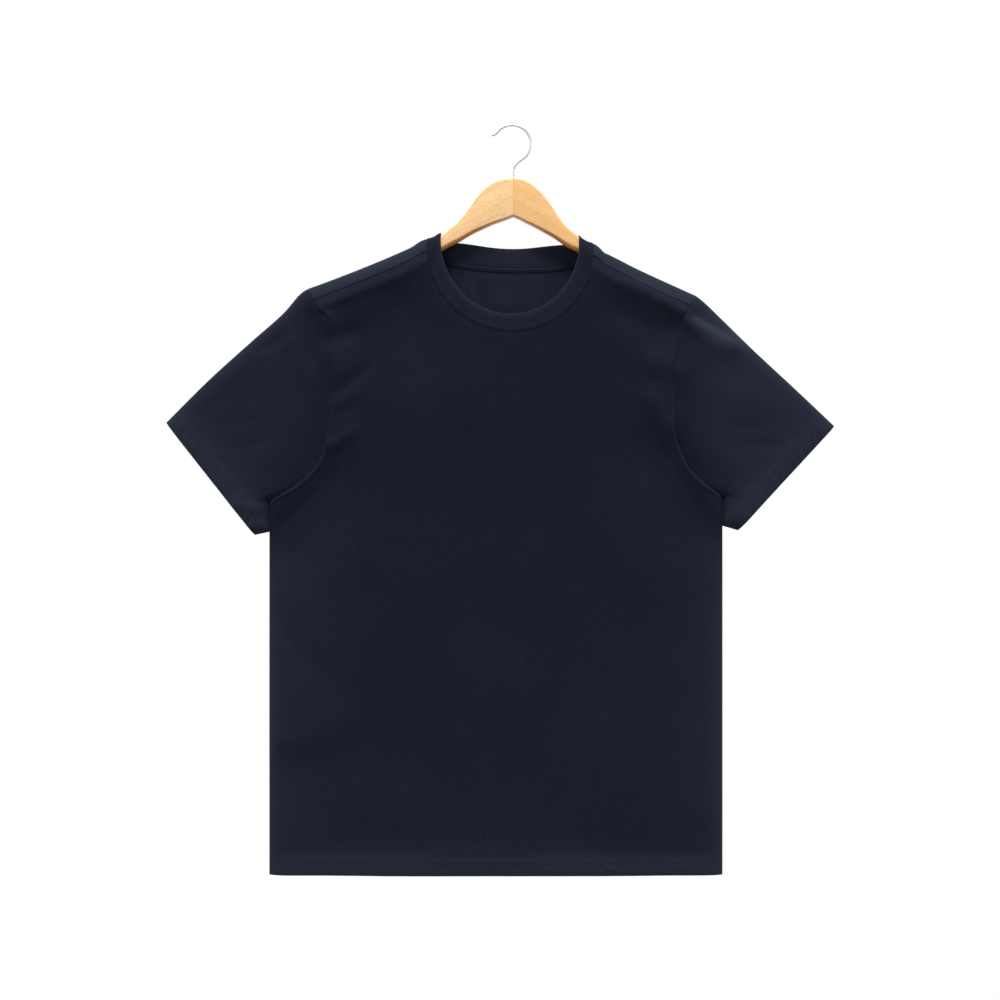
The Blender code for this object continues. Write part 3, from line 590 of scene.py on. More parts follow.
def cloth(name, grids, material, closed=False, half=None):
    """Give open sheets of points their wall, inwards from the outer face, as one piece.

    A panel that is one half of the body keeps to its own half at the side folds.
    """
    bm = bmesh.new()
    weave = bm.verts.layers.float_vector.new("weave")
    walls = bm.verts.layers.float.new("wall")
    for grid in grids:
        rows = []
        for line in grid:
            row = []
            for x, y, z, u, v, wall, painted_light_and_purl in line:
                vert = bm.verts.new((x * MM, y * MM, z * MM))
                vert[weave] = (u * MM, v * MM, painted_light_and_purl)
                vert[walls] = wall
                row.append(vert)
            rows.append(row)
        for lower, upper in zip(rows, rows[1:]):
            for k in range(len(lower) - (0 if closed else 1)):
                after = (k + 1) % len(lower)
                bm.faces.new((lower[k], lower[after], upper[after], upper[k]))
    bmesh.ops.remove_doubles(bm, verts=bm.verts, dist=0.004 * MM)
    bm.normal_update()
    outer_faces = list(bm.faces)
    rims = [edge for edge in bm.edges if edge.is_boundary]
    inner = {}
    for vert in list(bm.verts):
        place = vert.co - vert.normal * vert[walls] * MM
        if half and vert.co.z < UNDERARM_Z * MM:
            place.y = half * max(half * place.y, 0.05 * MM)
        inner[vert] = bm.verts.new(place)
        u, v, painted_light_and_purl = vert[weave]
        inner[vert][weave] = (u, v, max(painted_light_and_purl, PURL_SIDE))
    for edge in rims:
        edge.smooth = min(vert[walls] for vert in edge.verts) > JERSEY
        loop = edge.link_loops[0]
        first, second = loop.vert, loop.link_loop_next.vert
        bm.faces.new((second, first, inner[first], inner[second]))
    for face in outer_faces:
        bm.faces.new([inner[vert] for vert in reversed(face.verts)])
    mesh = bpy.data.meshes.new(name)
    bm.to_mesh(mesh)
    bm.free()
    return new_piece(name, mesh, material)


def ring_faces(count, around, base=0, caps=True):
    """Faces over a row of closed rings; the ends are closed, or else joined in a circle."""
    faces = []
    for i in range(count - 1 if caps else count):
        ring, beyond = base + i * around, base + (i + 1) % count * around
        for k in range(around):
            after = (k + 1) % around
            faces.append((ring + k, ring + after, beyond + after, beyond + k))
    if caps:
        last = base + (count - 1) * around
        faces += [range(base, base + around)[::-1], range(last, last + around)]
    return faces


def loft(name, rings, material, weave=None, caps=True):
    """Skin a row of closed rings of points."""
    rings = np.array(rings)
    faces = ring_faces(*rings.shape[:2], caps=caps)
    mesh = bpy.data.meshes.new(name)
    mesh.from_pydata((rings.reshape(-1, 3) * MM).tolist(), [], faces)
    if weave is not None:
        layer = mesh.attributes.new("weave", "FLOAT_VECTOR", "POINT")
        layer.data.foreach_set("vector", (np.reshape(weave, (-1, 3)) * MM).ravel())
    return new_piece(name, mesh, material)


# A stitch's rings: share of its length, share of the thread's radius, and share of its lift
STITCH_RINGS = ((0, 0.35, 0), (0.12, 0.9, 0.6), (0.5, 1, 1), (0.88, 0.9, 0.6), (1, 0.35, 0))
STITCH_LIFT = 0.22


def stitches(name, rows, material):
    """Lay short rounded threads end to end along rows of points, as a twin needle does."""
    points, faces = [], []
    around = 6
    for row, outward in rows:
        row = np.array(row, float)
        gone = reached_along(row)
        starts = np.arange(0.5, gone[-1] - STITCH_LENGTH, STITCH_PITCH)
        ends = [[np.interp(starts + part, gone, row[:, axis]) for axis in range(3)]
                for part in (0, STITCH_LENGTH)]
        for start, end in zip(np.transpose(ends[0]), np.transpose(ends[1])):
            run = Vector(end - start).normalized()
            out = Vector(outward)
            out = (out - run * out.dot(run)).normalized()
            across = run.cross(out)
            base = len(points)
            for share, width, lift in STITCH_RINGS:
                centre = Vector(mix(start, end, share)) + out * (STITCH_LIFT * lift)
                for k in range(around):
                    angle = FULL_TURN * k / around
                    side = across * math.cos(angle) + out * math.sin(angle)
                    points.append((centre + side * (THREAD_RADIUS * width)) * MM)
            faces += [face[::-1] for face in ring_faces(len(STITCH_RINGS), around, base)]
    mesh = bpy.data.meshes.new(name)
    mesh.from_pydata(points, [], faces)
    return new_piece(name, mesh, material)


# ---- front and back

SHOULDER_STEPS = 42
NECK_STEPS = 84
SIDE_COLUMNS = (0, 0.05, 0.5, 1.3, 2.4, 3.8, 5.5, 7.5, 10, 13, 16.5, 20.5)
HEM_ROWS = (0, 0.25, 0.8, 1.6, 3.2, 5.5, 8, 10.5, 12.8, 14.2, 14.9, 15.4, 15.9, 16.6, 17.4,
            18.2, 18.8, 19.3, 19.8, 20.6, 22, 24, 27)
BELOW_TOP_ROWS = 17
TOP_ROWS = (15, 12, 9.6, 7.8, 6.2, 4.8, 3.6, 2.6, 1.7, 0.9, 0.35, 0)
SIDE_STEPS = 112
ARMHOLE_STEPS = 58
ARMHOLE_REACH = 0.93
RIDGE_DROPS = np.array((0, 0.03, 0.134, 0.29, 0.5, 0.74, 1)) * RIDGE_ROUND
STRIP_DROPS = (10.4, 12, 13.6, 15, 16.1, 16.9, 17.5)


def armhole_heights(side):
    """Heights of the rows from the underarm up: closer near the underarm and near the seam."""
    path = path_along(ARMHOLE[side][::-1])
    corner = float(shoulder_place(side, "back", 0, SEAM_DROP)[1])
    shares = 1 - np.cos(0.5 * math.pi * np.arange(ARMHOLE_STEPS) / ARMHOLE_STEPS)
    heights = path(ARMHOLE_REACH * shares)[1]
    underarm = heights[0]
    highest = corner - BELOW_TOP_ROWS
    heights = underarm + (heights - underarm) * (highest - underarm) / (heights[-1] - underarm)
    return np.concatenate((heights, corner - np.array(TOP_ROWS)))


def body_edge_x(side, z):
    """The body's edge: its side below the underarm, and the armhole seam above it."""
    return np.where(z <= ARMHOLE[side][-1][1], SIDE_X[side], armhole_line[side](z))


def panel(face):
    """Places of a panel's points, in rows from the hem up to the shoulder seams and neck."""
    shares = np.arange(SHOULDER_STEPS) / SHOULDER_STEPS
    turns = neck_turns(face, NECK_STEPS)
    tops = [
        shoulder_place("left", face, shares, SEAM_DROP),
        neck_place(NECK_SEAM, face, turns),
        shoulder_place("right", face, shares[::-1], SEAM_DROP),
    ]
    top_x, top_z = np.concatenate(tops, axis=1)
    width = SIDE_X["right"] - SIDE_X["left"]
    near = np.array(SIDE_COLUMNS) / width
    count = len(top_x) - 2 * len(near)
    between = np.linspace(near[-1], 1 - near[-1], count + 2)[1:-1]
    column = np.concatenate((near, between, 1 - near[::-1]))
    rises = []
    for side in SIDES:
        underarm = ARMHOLE[side][-1][1]
        sides = np.linspace(HEM_Z + HEM_ROWS[-1], underarm, SIDE_STEPS + 1)[1:-1]
        heights = np.concatenate((HEM_Z + np.array(HEM_ROWS), sides, armhole_heights(side)))
        rises.append((heights - HEM_Z) / (heights[-1] - HEM_Z))
    share = mix(rises[0][:, None], rises[1][:, None], column)
    z = mix(HEM_Z, top_z, share)
    corners = (top_z[0], top_z[-1])
    edges = [body_edge_x(side, np.minimum(z, corner)) for side, corner in zip(SIDES, corners)]
    ends = [body_edge_x(side, np.minimum(top_z, corner)) for side, corner in zip(SIDES, corners)]
    top_share = (top_x - ends[0]) / (ends[1] - ends[0])
    underarm = (ARMHOLE["left"][-1][1] - HEM_Z) / (corners[0] - HEM_Z)
    spread = ease((share - underarm) / (1 - underarm))
    x = mix(edges[0], edges[1], mix(column, top_share, spread))
    return x, z


def panel_grid(face):
    x, z = panel(face)
    low = z - HEM_Z
    wall = mix(HEM_WALL, JERSEY, ease(low - HEM_DEPTH))
    inside = np.maximum(from_side(x), 0)
    wall = mix(FOLD_WALL, wall, ease(inside / 6))
    sides = 0.4 * np.exp(-inside / 55) + 0.6 * np.exp(-inside / 8)
    # Painted light on the hem and sides, taken away under the arms as painted shade
    painted_light_and_purl = np.maximum(0.9 * hump(low, HEM_LIGHT), sides * (1 - 0.9 * hump(z - UNDERARM_SHADE, 55)))
    # Painted highlight below each shoulder seam on the front
    if face == "front":
        for side in SIDES:
            away = beside_line(x, z, shoulder_curve[side])[0]
            painted_light_and_purl = np.maximum(painted_light_and_purl, SHOULDER_HIGHLIGHT * np.exp(-away / 9))
    return as_grid(x, TOWARDS[face] * body_surface(face, x, z), z, x, z, wall, painted_light_and_purl)


def make_front(material):
    return cloth("front_panel", [panel_grid("front")], material, half=TOWARDS["front"])


def shoulder_strip(side):
    """The back panel's strip from behind the ridge to the forward shoulder seam."""
    shares = np.linspace(0, 1, SHOULDER_STEPS + 1)
    if side == "left":
        shares = shares[::-1]
    behind = [("back", drop) for drop in STRIP_DROPS[::-1] + tuple(RIDGE_DROPS[:0:-1])]
    ahead = [("front", drop) for drop in tuple(RIDGE_DROPS) + STRIP_DROPS]
    rows = []
    for face, drop in behind + ahead:
        x, z = shoulder_place(side, face, shares, drop)
        creased = plain_depth(x, z) + detail(face, x, z) * ease(drop / SEAM_DROP)
        depth = held_off(creased, HANGER_ROOM)
        relief = seam_sink(SEAM_DROP - drop, SEAM_SINK) + 0.3 * hump(SEAM_DROP - drop - 2.4, 1.3)
        relief = relief if face == "front" else 0
        for line in (armhole_curve[side], neck_curve["front"], neck_curve["back"]):
            relief = relief + seam_sink(beside_line(x, z, line)[0], SEAM_SINK) * ease(drop / 3)
        if face == "back" and drop == SEAM_DROP:
            depth, relief = body_surface("back", x, z), 0
        y = TOWARDS[face] * (depth * round_over(drop, RIDGE_SOFT) + relief * ease(drop / 3))
        # Painted highlight over the shoulder, fading out down the back
        painted_light_and_purl = STRIP_HIGHLIGHT * (1 - ease(drop / SEAM_DROP) * (face == "back"))
        rows.append(as_grid(x, y, z, x, z, JERSEY, painted_light_and_purl))
    return np.array(rows)


def make_back(material):
    grids = [panel_grid("back")[:, ::-1], shoulder_strip("left"), shoulder_strip("right")]
    return cloth("back_panel", grids, material, half=TOWARDS["back"])


# ---- sleeves

SLEEVE_STEPS = 46
FOLD_STEPS = 10
CUFF_ROWS = HEM_ROWS[::-1]
FOLD_BENDS_BACK = 2.5


def seam_rings(side):
    """The sleeve's inner end, for each face: over the ridge, down the armhole and the side."""
    halves = {}
    for face in TOWARDS:
        drops = np.concatenate((RIDGE_DROPS, STRIP_DROPS))
        places = [shoulder_place(side, face, 0, drop) for drop in drops]
        x, z = np.array(places, float).T
        rounding = round_over(drops, RIDGE_SOFT)
        heights = armhole_heights(side)[1:-1][::-1]
        x = np.concatenate((x, armhole_line[side](heights)))
        z = np.concatenate((z, heights))
        rounding = np.concatenate((rounding, np.ones(len(heights))))
        depth = plain_depth(x, z) * rounding * round_over(from_side(x), SIDE_ROUND)
        part = np.arange(FOLD_STEPS + 1) / FOLD_STEPS
        (start_x, start_z), (turn_x, turn_z) = SLEEVE_UNDER[side][:2]
        halves[face] = np.stack((
            np.concatenate((x, mix(start_x, turn_x, part))),
            np.concatenate((TOWARDS[face] * depth, np.zeros(len(part)))),
            np.concatenate((z, mix(start_z, turn_z, part))),
        ), axis=-1)
    return halves


def sleeve_half(side, face, ring):
    """Rows of points of one face of a sleeve, from its seam to its cuff."""
    seam_x, seam_y, seam_z = ring.T
    seam_end = len(ring) - 1 - FOLD_STEPS
    gone = reached_along(ring)
    share = CUFF_SHARE_OF_SEAM * gone / gone[seam_end]
    fold = np.arange(1, FOLD_STEPS + 1) / FOLD_STEPS
    share[seam_end + 1:] = mix(CUFF_SHARE_OF_SEAM, 1, fold)
    tip, corner = np.array(SLEEVE_TOP[side][-1]), np.array(SLEEVE_UNDER[side][-1])
    turn = np.array(SLEEVE_UNDER[side][1])
    end_x, end_z = mix(tip[0], corner[0], share), mix(tip[1], corner[1], share)
    length = np.hypot(end_x - seam_x, end_z - seam_z)
    hem_start = np.maximum(1 - CUFF_ROWS[0] / length, 0.3)
    rise = np.concatenate(([0, 0.012, 0.03, 0.055], np.linspace(0.08, 1, SLEEVE_STEPS)[:-1]))
    before = rise[:, None] * hem_start
    after = 1 - np.array(CUFF_ROWS)[:, None] / CUFF_ROWS[0] * (1 - hem_start)
    step = np.concatenate((before, after))
    top = path_along(SLEEVE_TOP[side])
    start_x, start_z = top(0)
    top_x, top_z = top(step)
    x, z = [
        mix(seam, end, step) + mix(crest, mix(low, last, step), share)
        - mix(mix(first, low, share), end, step)
        for seam, end, crest, low, last, first in (
            (seam_x, end_x, top_x, turn[0], corner[0], start_x),
            (seam_z, end_z, top_z, turn[1], corner[1], start_z),
        )
    ]
    top_curve = np.column_stack(top(np.linspace(0, 1, 30)))
    from_top = beside_line(x, z, top_curve)[0]
    rounding = round_over(from_top, mix(RIDGE_SOFT, SLEEVE_ROUND, step))
    rounding = rounding * round_over(beside_line(x, z, SLEEVE_UNDER[side])[0], SLEEVE_ROUND)
    own_part = np.maximum(ease(step / 0.7), ease((share / CUFF_SHARE_OF_SEAM - 0.8) / 0.2))
    own_part = np.where(step > 0, own_part, 0)
    depth = mix(np.abs(seam_y), SLEEVE_HALF_DEPTH * rounding, own_part)
    depth = depth + detail(face, x, z) * rounding
    away, along = beside_line(x, z, armhole_curve[side])[:2]
    low, cuff_along = beside_line(x, z, (tip, corner))[:2]
    hem = hem_roll(low, cuff_along, SEED[face] + OUTWARD[side])
    pucker = armhole_pucker(along, away, SLEEVE_PUCKER)
    head = 0.6 * hump(away - 4, 2.2) * ease((z + 400) / 90)
    sink = seam_sink(away, mix(*ARMHOLE_SINK, low_armhole(z)))
    relief = hem * rounding + (sink + pucker + head) * ease(rounding / 0.6)
    y = TOWARDS[face] * (depth + relief)
    y = y + FOLD_BENDS_BACK * ease((share - CUFF_SHARE_OF_SEAM) / 0.2) * ease(1 - step / 0.5)
    axis = np.array((tip[0] - start_x, tip[1] - start_z))
    axis = axis / np.hypot(*axis)
    u, v = x * axis[1] - z * axis[0], x * axis[0] + z * axis[1]
    wall = mix(JERSEY, HEM_WALL, ease(CUFF_HEM - low))
    # Painted light: highlights on cuff, top edge, a crest patch and raised creases, and the sleeve
    # off its seam
    painted_light_and_purl = np.maximum(hump(low, CUFF_LIGHT), 0.8 * np.exp(-from_top / SLEEVE_TOP_HIGHLIGHT[side]))
    painted_light_and_purl = np.maximum(painted_light_and_purl, 2.2 * hump(x - CREST_END, 20) * np.exp(-from_top / 12))
    painted_light_and_purl = mix(SLEEVE_LIGHT[side] * ease(away / 60), 1, painted_light_and_purl)
    painted_light_and_purl = np.maximum(painted_light_and_purl, np.clip(CREST_HIGHLIGHT * (crease_rise(face, x, z) - 1.5), 0, 2.3))
    return as_grid(x, y, z, u, v, mix(FOLD_WALL, wall, ease(rounding)), painted_light_and_purl)


def make_sleeve(side, material):
    front, back = [sleeve_half(side, *half) for half in seam_rings(side).items()]
    grid = np.concatenate((front, back[:, -2:0:-1]), axis=1)
    if side == "left":
        grid = grid[:, ::-1]
    return cloth(f"{side}_sleeve", [grid], material, closed=True)


# ---- neckband and tape

BAND_SHARES = np.array(
    (0, 0.03, 0.07, 0.12, 0.18, 0.28, 0.42, 0.58, 0.72, 0.8, 0.87, 0.93, 0.97, 1)
)
FOLD_TURNS = np.radians((30, 60, 90, 120, 150))
TAPE_DROPS = (6.2, 6.1, 5.7, 5, 4, 3, 2, 1.2, 0.4, -0.6, -1.8, -2.8, -3.4, -3.6)
TAPE_GAP = 0.2


def band_line(face, share):
    """The band's places on one face of the neck, right round from ridge to ridge."""
    half = mix(NECK_SEAM.half_width, NECK_TOP.half_width, share)
    drops = np.concatenate((RIDGE_DROPS[:-1], [RIDGE_ROUND, 11]))
    turns = neck_turns(face, NECK_STEPS)
    seam_x, seam_z = neck_place(NECK_SEAM, face, turns)
    top_x, top_z = neck_place(NECK_TOP, face, turns)
    if face == "back":
        top_z = top_z + BAND_RISE * np.sin(2 * turns) ** 2
    lines = []
    for side in SIDES:
        x = np.full(len(drops), NECK_X + OUTWARD[side] * half)
        lines.append((x[:-1], (ridge_line(x) - drops)[:-1], round_over(drops, RIDGE_SOFT)[:-1]))
    x = np.concatenate((lines[0][0], mix(seam_x, top_x, share), lines[1][0][::-1]))
    z = np.concatenate((lines[0][1], mix(seam_z, top_z, share), lines[1][1][::-1]))
    rounding = np.concatenate((lines[0][2], np.ones(len(turns)), lines[1][2][::-1]))
    depth = half_depth(face, x, z) + 0.25
    return np.stack((x, TOWARDS[face] * depth * rounding, z), axis=-1)


def make_neckband(material):
    """A folded ring of rib: soft and full in its middle, round at its top fold."""
    lines = []
    for share in BAND_SHARES:
        front, back = band_line("front", share), band_line("back", share)
        lines.append(np.concatenate((front, back[-2:0:-1])))
    sheet = np.stack(lines, axis=1)
    round_way = np.roll(sheet, -1, axis=0) - np.roll(sheet, 1, axis=0)
    across = np.gradient(sheet, axis=1)
    out = unit(np.cross(round_way, across))
    for _ in range(2):
        out = unit(out + np.roll(out, 1, axis=0) + np.roll(out, -1, axis=0))
    width = np.linalg.norm(sheet[:, -1] - sheet[:, 0], axis=1)[:, None]
    away = width * BAND_SHARES
    gone = np.cumsum(np.linalg.norm(round_way, axis=2)[:, 0] * 0.5)[:, None]
    pull = 0.16 * np.sin(FULL_TURN * (gone + 0.25 * away) / 17) * (1 - BAND_SHARES)
    full = 0.25 * (1 - (2 * BAND_SHARES - 1) ** 2) + 0.4 * hump(away - 2.2, 1.5) + pull
    thinned = RIB_THINNING * ease(1 - (width - away) / 4.5)
    outer = sheet + out * (full - thinned)[:, :, None]
    half_wall = 0.5 * RIB_WALL - RIB_THINNING
    upward = unit(across[:, -1])
    middle = outer[:, -1] - out[:, -1] * half_wall
    fold = [middle + (out[:, -1] * math.cos(turn) + upward * math.sin(turn)) * half_wall
            for turn in FOLD_TURNS]
    inner = (sheet + out * (full * 0.4 - RIB_WALL + thinned)[:, :, None])[:, ::-1]
    rings = np.concatenate((outer, np.stack(fold, axis=1), inner), axis=1)
    count = rings.shape[1]
    top_fold = np.repeat(away[:, -1:], len(FOLD_TURNS), axis=1)
    steps = np.concatenate((away, top_fold, away[:, ::-1]), axis=1)
    # Painted highlight along the top fold, and painted light on the band's inner face
    painted_light_and_purl = FOLD_HIGHLIGHT * np.exp((steps - width) / 2.4)
    painted_light_and_purl[:, len(BAND_SHARES):] *= 2
    painted_light_and_purl[:, len(BAND_SHARES):] += BAND_INSIDE_LIGHT
    weave = np.stack((np.repeat(gone, count, axis=1), steps, painted_light_and_purl / MM), axis=-1)
    band = loft("rib_neckband", rings[::-1], material, weave[::-1], caps=False)
    for edge in band.data.edges:
        edge.use_edge_sharp = all(vert % count == 0 for vert in edge.vertices)
    return band


def make_neck_tape(material):
    """A bound strip inside the back panel, just under the neck seam, turned in at its edges."""
    turns = np.radians(np.linspace(20, 160, 110))
    rows = []
    for drop in TAPE_DROPS:
        x, z = neck_place(NECK_SEAM, "back", turns)
        z = z - drop
        low = min(drop - TAPE_DROPS[-1], TAPE_DROPS[0] - drop)
        swell = 0.1 + 0.3 * float(ease(low / 2.2)) - 0.25 * float(hump(drop - 1.2, 0.8))
        along = reached_along(np.column_stack((x, z)))
        pucker = 0.18 * seam_wave(along, z, 6, 30, 3, 8)
        y = body_surface("back", x, z) - JERSEY - TAPE_GAP - TAPE_WALL - swell - pucker
        rows.append(as_grid(x, y, z, x, z, TAPE_WALL, 0.5))
    return cloth("bound_neck_tape", [np.array(rows)], material)


# ---- hanger and hook

GRAIN_SLOPE = math.radians(27)
# The right arm is drawn from further along the grain, as if from another board
NEXT_BOARD = 410
CORNER_TURNS = np.radians((0, 18, 36, 54, 72, 90))
TIP_SHARES = (0.97, 0.86, 0.6, 0.2)


def arm_lines(side):
    """The heights of an arm's top and bottom edges along its reach."""
    sections = [Section(*row) for row in ARM_BARE[side]]
    for share in np.linspace(0, 1, 11):
        reach = mix(*ARM_COVERED[side], share)
        drop = mix(*ARM_UNDER_CLOTH, min(share * 8, 1))
        top = float(wood_line(HANGER_X + OUTWARD[side] * reach)) - drop
        sections.append(Section(reach, top, top - mix(*ARM_HEIGHTS, share)))
    return (smooth_line([(section.reach, section.top) for section in sections]),
            smooth_line([(section.reach, section.bottom) for section in sections]))


def arm_ring(side, reach, top, bottom, shrink=0):
    """One section: flat faces, rounded top edges, and bottom ones that are crisp at the neck."""
    points = []
    top, bottom, half = top - shrink, bottom + shrink, ARM_HALF - shrink
    lower = mix(*ARM_BOTTOM_ROUNDS, float(ease(reach / ARM_BOTTOM_SOFT_FROM)))
    corners = ((1, top, ARM_TOP_ROUND, 0), (-1, top, ARM_TOP_ROUND, 90),
               (-1, bottom, lower, 180), (1, bottom, lower, 270))
    room = 0.95 * min(half, 0.5 * (top - bottom))
    for across, z, radius, start in corners:
        radius = min(radius, room)
        upward = 1 if start < 180 else -1
        for turn in CORNER_TURNS + math.radians(start):
            y = across * (half - radius) + radius * math.cos(turn)
            points.append((HANGER_X + OUTWARD[side] * reach, y,
                           z - upward * radius + radius * math.sin(turn)))
    return points


def make_arm(side, material):
    top_line, bottom_line = arm_lines(side)
    last = ARM_COVERED[side][1]
    rings = [arm_ring(side, 0.03, top_line(0), bottom_line(0), 0.15)]
    for reach in np.concatenate(([0.4, 2], np.linspace(5, last, 66))):
        rings.append(arm_ring(side, reach, float(top_line(reach)), float(bottom_line(reach))))
    top, bottom = float(top_line(last)), float(bottom_line(last))
    for share in ARM_END_SHARES:
        reach = last + ARM_END_LENGTH * share
        ends = top - ARM_END_DROPS[0] * share, bottom - ARM_END_DROPS[1] * share
        shrink = ARM_END_SHRINK * (1 - math.sqrt(1 - share**2))
        rings.append(arm_ring(side, reach, *ends, shrink))
    rings = np.array(rings)
    if side == "left":
        rings = rings[:, ::-1]
    reach, y, z = np.abs(rings[..., 0] - HANGER_X), rings[..., 1], rings[..., 2]
    along = reach * math.cos(GRAIN_SLOPE) - z * math.sin(GRAIN_SLOPE)
    up = reach * math.sin(GRAIN_SLOPE) + z * math.cos(GRAIN_SLOPE)
    grain = np.stack((along + (0 if side == "left" else NEXT_BOARD), up, y), axis=-1)
    return loft(f"maple_arm_{side}", rings, material, grain)


def make_hook(material):
    """A bent wire: stem, slanting shank, round loop and a flicked, rounded tip."""
    turns = np.radians(np.arange(-38, 136, 6))
    loop = np.column_stack((LOOP_RADIUS * np.cos(turns),
                            WIRE_RADIUS - LOOP_RADIUS + LOOP_RADIUS * np.sin(turns)))
    path = path_along(np.vstack((HOOK_SHANK, loop, HOOK_TIP)))
    line = np.array(path(np.linspace(0, 1, 220)))
    for _ in range(3):
        line[:, 1:-1] = 0.25 * (line[:, :-2] + 2 * line[:, 1:-1] + line[:, 2:])
    x, z = line
    run = np.gradient(line, axis=1)
    run /= np.hypot(*run)
    radius = np.full(len(x), WIRE_RADIUS)
    radius[-len(TIP_SHARES):] *= TIP_SHARES
    angle = np.linspace(0, FULL_TURN, 14, endpoint=False)
    out = np.cos(angle) * radius[:, None]
    rings = np.stack((x[:, None] + run[1][:, None] * out,
                      np.sin(angle) * radius[:, None],
                      z[:, None] - run[0][:, None] * out), axis=-1)
    return loft("wire_hook", rings, material)


# ---- sewing


def sewn_row(face, x, z, tilt=0):
    """A row of thread on one face of the body, with the way that is outwards from it."""
    y = TOWARDS[face] * (body_surface(face, x, z) + THREAD_STANDS_OUT)
    return np.column_stack((x, y, z)), (0, TOWARDS[face], tilt)


def hem_rows():
    """The twin needle's rows at the hem."""
    x = np.linspace(SIDE_X["left"] + 2, SIDE_X["right"] - 2, 260)
    return [sewn_row(face, x, np.full(len(x), HEM_Z + needle))
            for face in TOWARDS for needle in NEEDLES]


def shoulder_rows():
    """The twin needle's rows on the front, under both shoulder seams."""
    rows = []
    for side in SIDES:
        x, z = shoulder_place(side, "front", np.linspace(0.01, 0.99, 90), SEAM_DROP)
        slant = np.hypot(1, np.gradient(z, x))
        rows += [sewn_row("front", x, z - needle * slant, 0.3) for needle in SHOULDER_NEEDLES]
    return rows


def neck_rows():
    """One row on the body, just under the band."""
    return [sewn_row(face, *neck_place(NECK_SEAM, face, neck_turns(face, 160)[3:-3], NECK_NEEDLE))
            for face in TOWARDS]


def cuff_rows(side):
    """The twin needle's rows, where they cross the columns of the sleeve's own points."""
    rows = []
    line = (SLEEVE_TOP[side][-1], SLEEVE_UNDER[side][-1])
    for face, ring in seam_rings(side).items():
        points = sleeve_half(side, face, ring)[-len(CUFF_ROWS) - 4:, :-2, :3]
        low = beside_line(points[..., 0], points[..., 2], line)[0]
        for needle in NEEDLES:
            row = [[np.interp(needle, low[::-1, k], points[::-1, k, axis]) for axis in range(3)]
                   for k in range(2, points.shape[1])]
            outward = np.array((0, TOWARDS[face], 0))
            rows.append((np.array(row) + THREAD_STANDS_OUT * outward, outward))
    return rows


# ---- materials


def hex_colour(text):
    """Turn a six-figure sRGB hex colour into linear RGBA."""
    channels = [int(text[i:i + 2], 16) / 255 for i in (0, 2, 4)]
    return [c / 12.92 if c <= 0.04045 else ((c + 0.055) / 1.055) ** 2.4 for c in channels] + [1]


def add_node(tree, kind, settings=None, links=None):
    """Add a node. Settings are its own properties or its sockets' values, links their sources."""
    node = tree.nodes.new("ShaderNode" + kind)
    for key, value in (settings or {}).items():
        if isinstance(key, str) and hasattr(node, key):
            setattr(node, key, value)
        else:
            node.inputs[key].default_value = value
    for key, source in (links or {}).items():
        tree.links.new(node.inputs[key], source)
    return node.outputs


def blank_material(name, settings):
    """Return a material with only its shader, so set, and that shader's tree."""
    material = bpy.data.materials.new(name)
    material.use_nodes = True
    tree = material.node_tree
    tree.nodes.clear()
    shader = tree.nodes.new("ShaderNodeBsdfPrincipled")
    for key, value in settings.items():
        shader.inputs[key].default_value = value
    add_node(tree, "OutputMaterial", links={"Surface": shader.outputs["BSDF"]})
    return material, tree, shader


# Knits: two tones of dye, the width of a wale or a rib, and the heights of columns and loops
Knit = namedtuple("Knit", "dark light wale columns loops")
JERSEY_KNIT = Knit("121822", "1a1b28", 1.5, 0.7, 0.5)
RIB_KNIT = Knit("151a25", "1c1e2a", 2.5, 1.4, 0.25)
KNIT_COURSE = 1.25
# The purl side's paler navy, which the painted highlights also go towards
LIT_AND_PURL_NAVY = "232733"


